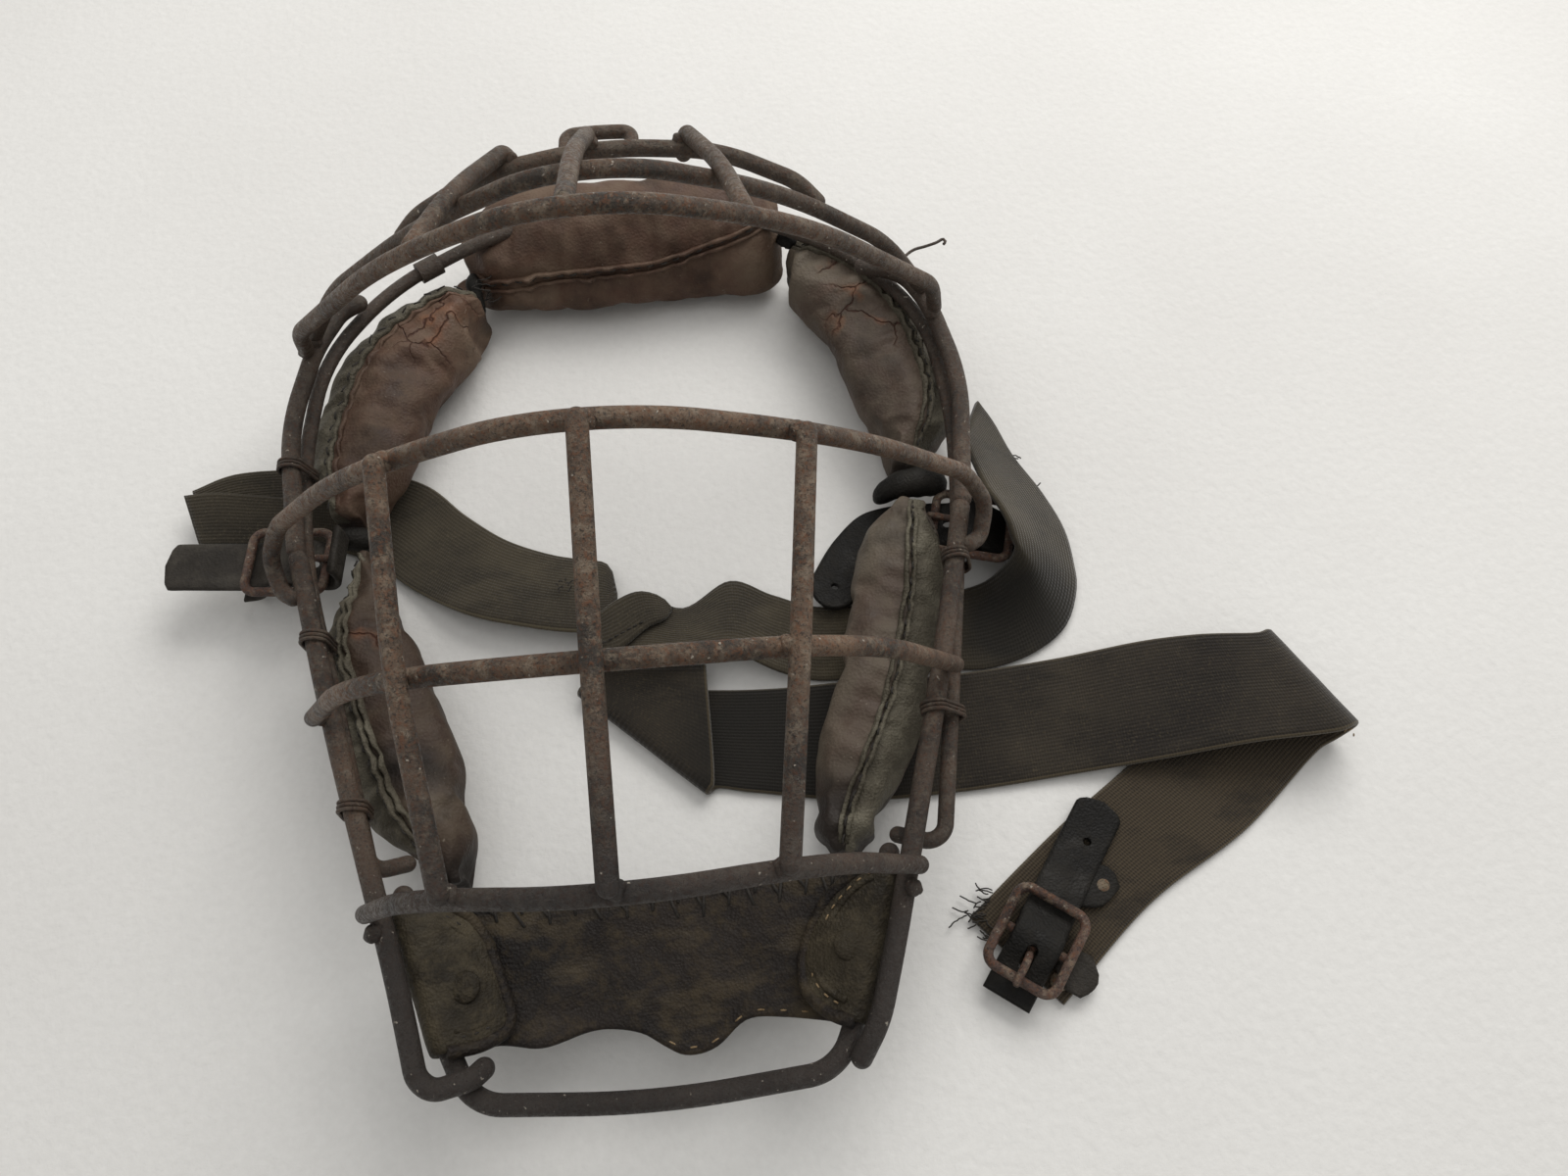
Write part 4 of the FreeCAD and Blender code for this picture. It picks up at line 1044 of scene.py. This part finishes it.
# ---- folds, tabs, stitches and loose threads on the harness ----
# Each: thickness, material, seed, rounded ends, stations.
DETAILS = {
    "back_hem_right": (WEB_T, BACK_WEB, 5.5, (0, 5), (
        (-14, 143.5, 14.4, -14, 131, 14.6), (-8, 147.5, 15.2, -7, 131, 16),
        (0, 150.5, 14.2, 2, 138, 15), (9, 148, 11.6, 9, 141, 12.4))),
    "back_fold_left": (1.2, BACK_WEB, 9.1, (0, 3), (
        (-146.8, 200.5, 9.4, -142, 184.5, 4.8), (-138, 201, 9.2, -134, 184, 4.6),
        (-126, 200, 7.6, -122, 183.5, 3.6), (-112, 198.5, 5.6, -108, 184, 2.8))),
    "crown_corner_tab": (1.6, SIDE_STRAP, 2.2, (3, 4), (
        (106, 31, 3.2, 111, 21.5, 3.2), (111, 34, 3.0, 117.5, 24.5, 2.9), (116, 37, 2.9, 121, 29, 2.8))),
    "crown_rivet_tab": (1.4, STRAP, 4.2, (3, 5), (
        (119, 57, 3.1, 113, 48, 3.1), (126, 58, 3.0, 122, 46, 3.0), (132, 55, 2.9, 128, 47, 2.9))),
}
for detail, (thick, material, seed, ends, stations) in DETAILS.items():
    band(detail, stations, thick, material, seed=seed, round_ends=ends)


def stitch_row(name, start, stop, count, share, radius, material, lift):
    """Evenly spaced stitches on a straight line between two points in mm."""
    start, stop = Vector(start), Vector(stop)
    pairs = []
    for k in range(count):
        a = start + (stop - start) * (k / count)
        pairs.append((a, a + (stop - start) * (share / count)))
    edge_stitches(name, pairs, radius, material, lift)


stitch_row("centre_stitches", (-21, 130.2, 7.8), (19, 129, 7.6), 17, 0.62, 0.3, TAN_THREAD, 0.5)
stitch_row("hem_stitches", (-12, 133, 16), (1, 139.5, 15.8), 7, 0.6, 0.25, DARK_THREAD, 1.0)

THREAD_R, THREAD_STEPS, THREAD_LOWEST = 0.22, 9, 0.4  # mm, points, mm


def loose_threads(name, roots, way, length, count, seed, material=DARK_THREAD):
    """Frayed ends that curl away from a row of root points; all in mm."""
    chance = random.Random(seed)
    parts = []
    for k in range(count):
        root = Vector(roots[k % len(roots)]) + Vector((chance.uniform(-2, 2), chance.uniform(-2, 2), 0))
        heading = Vector(way).normalized() + Vector((chance.uniform(-0.7, 0.7), chance.uniform(-0.7, 0.7), 0))
        reach = length * chance.uniform(0.4, 1.0)
        turn = chance.uniform(-1.6, 1.6)
        points = []
        spot = root
        for i in range(THREAD_STEPS):
            points.append(at(spot.x, spot.y, max(spot.z, THREAD_LOWEST)))
            swing = Matrix.Rotation(turn * i / THREAD_STEPS + chance.uniform(-0.3, 0.3), 3, "Z")
            onward = (swing @ heading).normalized() * (reach / THREAD_STEPS)
            spot = spot + onward + Vector((0, 0, chance.uniform(-0.25, 0.2)))
        parts.append(tube(name, points, THREAD_R * MM, material, count=5))
    join(name, parts)


crown_roots = [(90, 46, 1.9), (91, 49, 1.9), (94, 52, 2.0), (94, 41, 1.9)]
loose_threads("crown_fray", crown_roots, (-1, 0.1, 0), 6, 26, 3)
loose_threads("crown_fray_long", [(88, 47, 1.3)], (-1, -0.5, 0), 12, 2, 8)
loose_threads("right_strap_fray", [(119.5, 187, 13.8), (126, 177, 9.8)], (1, 0.4, 0), 4, 22, 5)
loose_threads("fold_fray", [(204, 88, 12), (205.5, 89, 9)], (0.5, 1, 0), 2.6, 6, 6, TAN_THREAD)
loose_threads("pad_gap_fray_left", [(-52, 270, 20), (-54, 272, 16), (-50, 268, 14)], (0.4, 0.3, 0), 9, 12, 7)
loose_threads("left_strap_fray", [(-24.8, 156.9, 9)], (0.2, 1, 0), 3.0, 9, 9)
hook = [(90.5, 250.5, 36.9), (93, 255, 35.6), (97, 259, 34.4), (101, 260.6, 33.8), (105, 261.6, 34.2),
        (107.4, 262.6, 34.5), (108, 261.6, 34.4), (107.2, 260.6, 34.2)]
tube("stray_wire", [at(*q) for q in smooth(hook, 0.8, Vector)], 0.5 * MM, STEEL, count=8)


# ---- dark leather that laces neighbouring pads together ----
def lace(name, stations, radius, seed):
    """A lumpy thong, thickest at its middle."""
    def thickness(share):
        return (0.05 + sin(pi * share)) ** 0.45 + 0.2 * bumpy(share * 6, seed, 0)

    points = [at(*q) for q in smooth(stations, 1.0, Vector)]
    tube(name, points, radius * MM, STRAP, count=12, taper=thickness)


lace("pad_lace_left", [(-54, 279, 14), (-54, 274, 17), (-53, 269, 16), (-51, 263, 12)], 2.4, 1.0)
lace("pad_lace_right", [(53, 280, 20), (56, 278.5, 22), (59, 276, 20)], 2.8, 2.0)
lace("pad_lace_cheek_right",
     [(76, 178.5, 9), (80, 179.5, 14), (87, 180, 16.5), (95, 180.5, 14), (98, 180.5, 9)], 4.6, 3.0)
lace("pad_lace_cheek_left", [(-80, 176, 8), (-85, 176.5, 13), (-92, 177, 14), (-98, 177, 8)], 3.6, 4.0)

# ---- finishes on the CAD's own metal ----
for node_name, node in NODES.items():
    words = node_name.split("_")
    paint = BUCKLE if "buckle" in words else BRASS if "rivets" in words else STEEL
    for place in node.material_slots:
        place.material = paint


# ---- braze at the joints ----
BRAZE_R = 2.3
SIDES, POSTS = ("left", "right"), ("left", "centre", "right")


def meeting(a, b):
    """The middle of the spot where two CAD wires meet."""
    tree = KDTree(len(NODES[b].data.vertices))
    for v in NODES[b].data.vertices:
        tree.insert(v.co, v.index)
    tree.balance()
    found = [(v.co, tree.find(v.co)) for v in NODES[a].data.vertices]
    spot, (other, _, _) = min(found, key=lambda pair: pair[1][2])
    return (spot + other) / 2


def braze(name, spot, seed):
    """A rough lump of braze metal round a joint."""
    bm = bmesh.new()
    bmesh.ops.create_icosphere(bm, subdivisions=3, radius=BRAZE_R * MM)
    for v in bm.verts:
        v.co *= 1 + 0.28 * noise.noise(v.co * 500 + Vector((seed, 0, 0)))
        v.co += spot
    mesh = bpy.data.meshes.new(name)
    bm.to_mesh(mesh)
    bm.free()
    mesh.materials.append(STEEL)
    mesh.polygons.foreach_set("use_smooth", [True] * len(mesh.polygons))
    return put_in_scene(name, mesh)


joints = [("cage_post_" + s, "cheek_bar_" + h) for s in POSTS for h in ("upper", "middle", "lower")]
joints += [("brow_post_" + s, "brow_bar_" + h) for s in POSTS for h in ("front", "middle", "rear")]
joints += [("cheek_bar_" + h, "lower_side_wire_" + s) for s in SIDES for h in ("middle", "lower")]
joints += [("brow_bar_" + h, "upper_side_wire_" + s) for s in SIDES for h in ("front", "middle")]
lumps = [braze("braze_lump", meeting(a, b), k) for k, (a, b) in enumerate(joints)]
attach(join("braze_lumps", lumps), "mask")

# ---- floor ----
FLOOR_CELLS, FLOOR_CELL, FLOOR_START, FLOOR_Z = 12, 0.5, -3, -0.0004  # in metres
row_points = FLOOR_CELLS + 1
floor_points = [Vector((FLOOR_START + FLOOR_CELL * i, FLOOR_START + FLOOR_CELL * j, FLOOR_Z))
                for i in range(row_points) for j in range(row_points)]
floor_faces = [(a, a + 1, a + 1 + row_points, a + row_points)
               for a in (i * row_points + j for i in range(FLOOR_CELLS) for j in range(FLOOR_CELLS))]
add_mesh("floor", floor_points, floor_faces, PAPER, body=None)
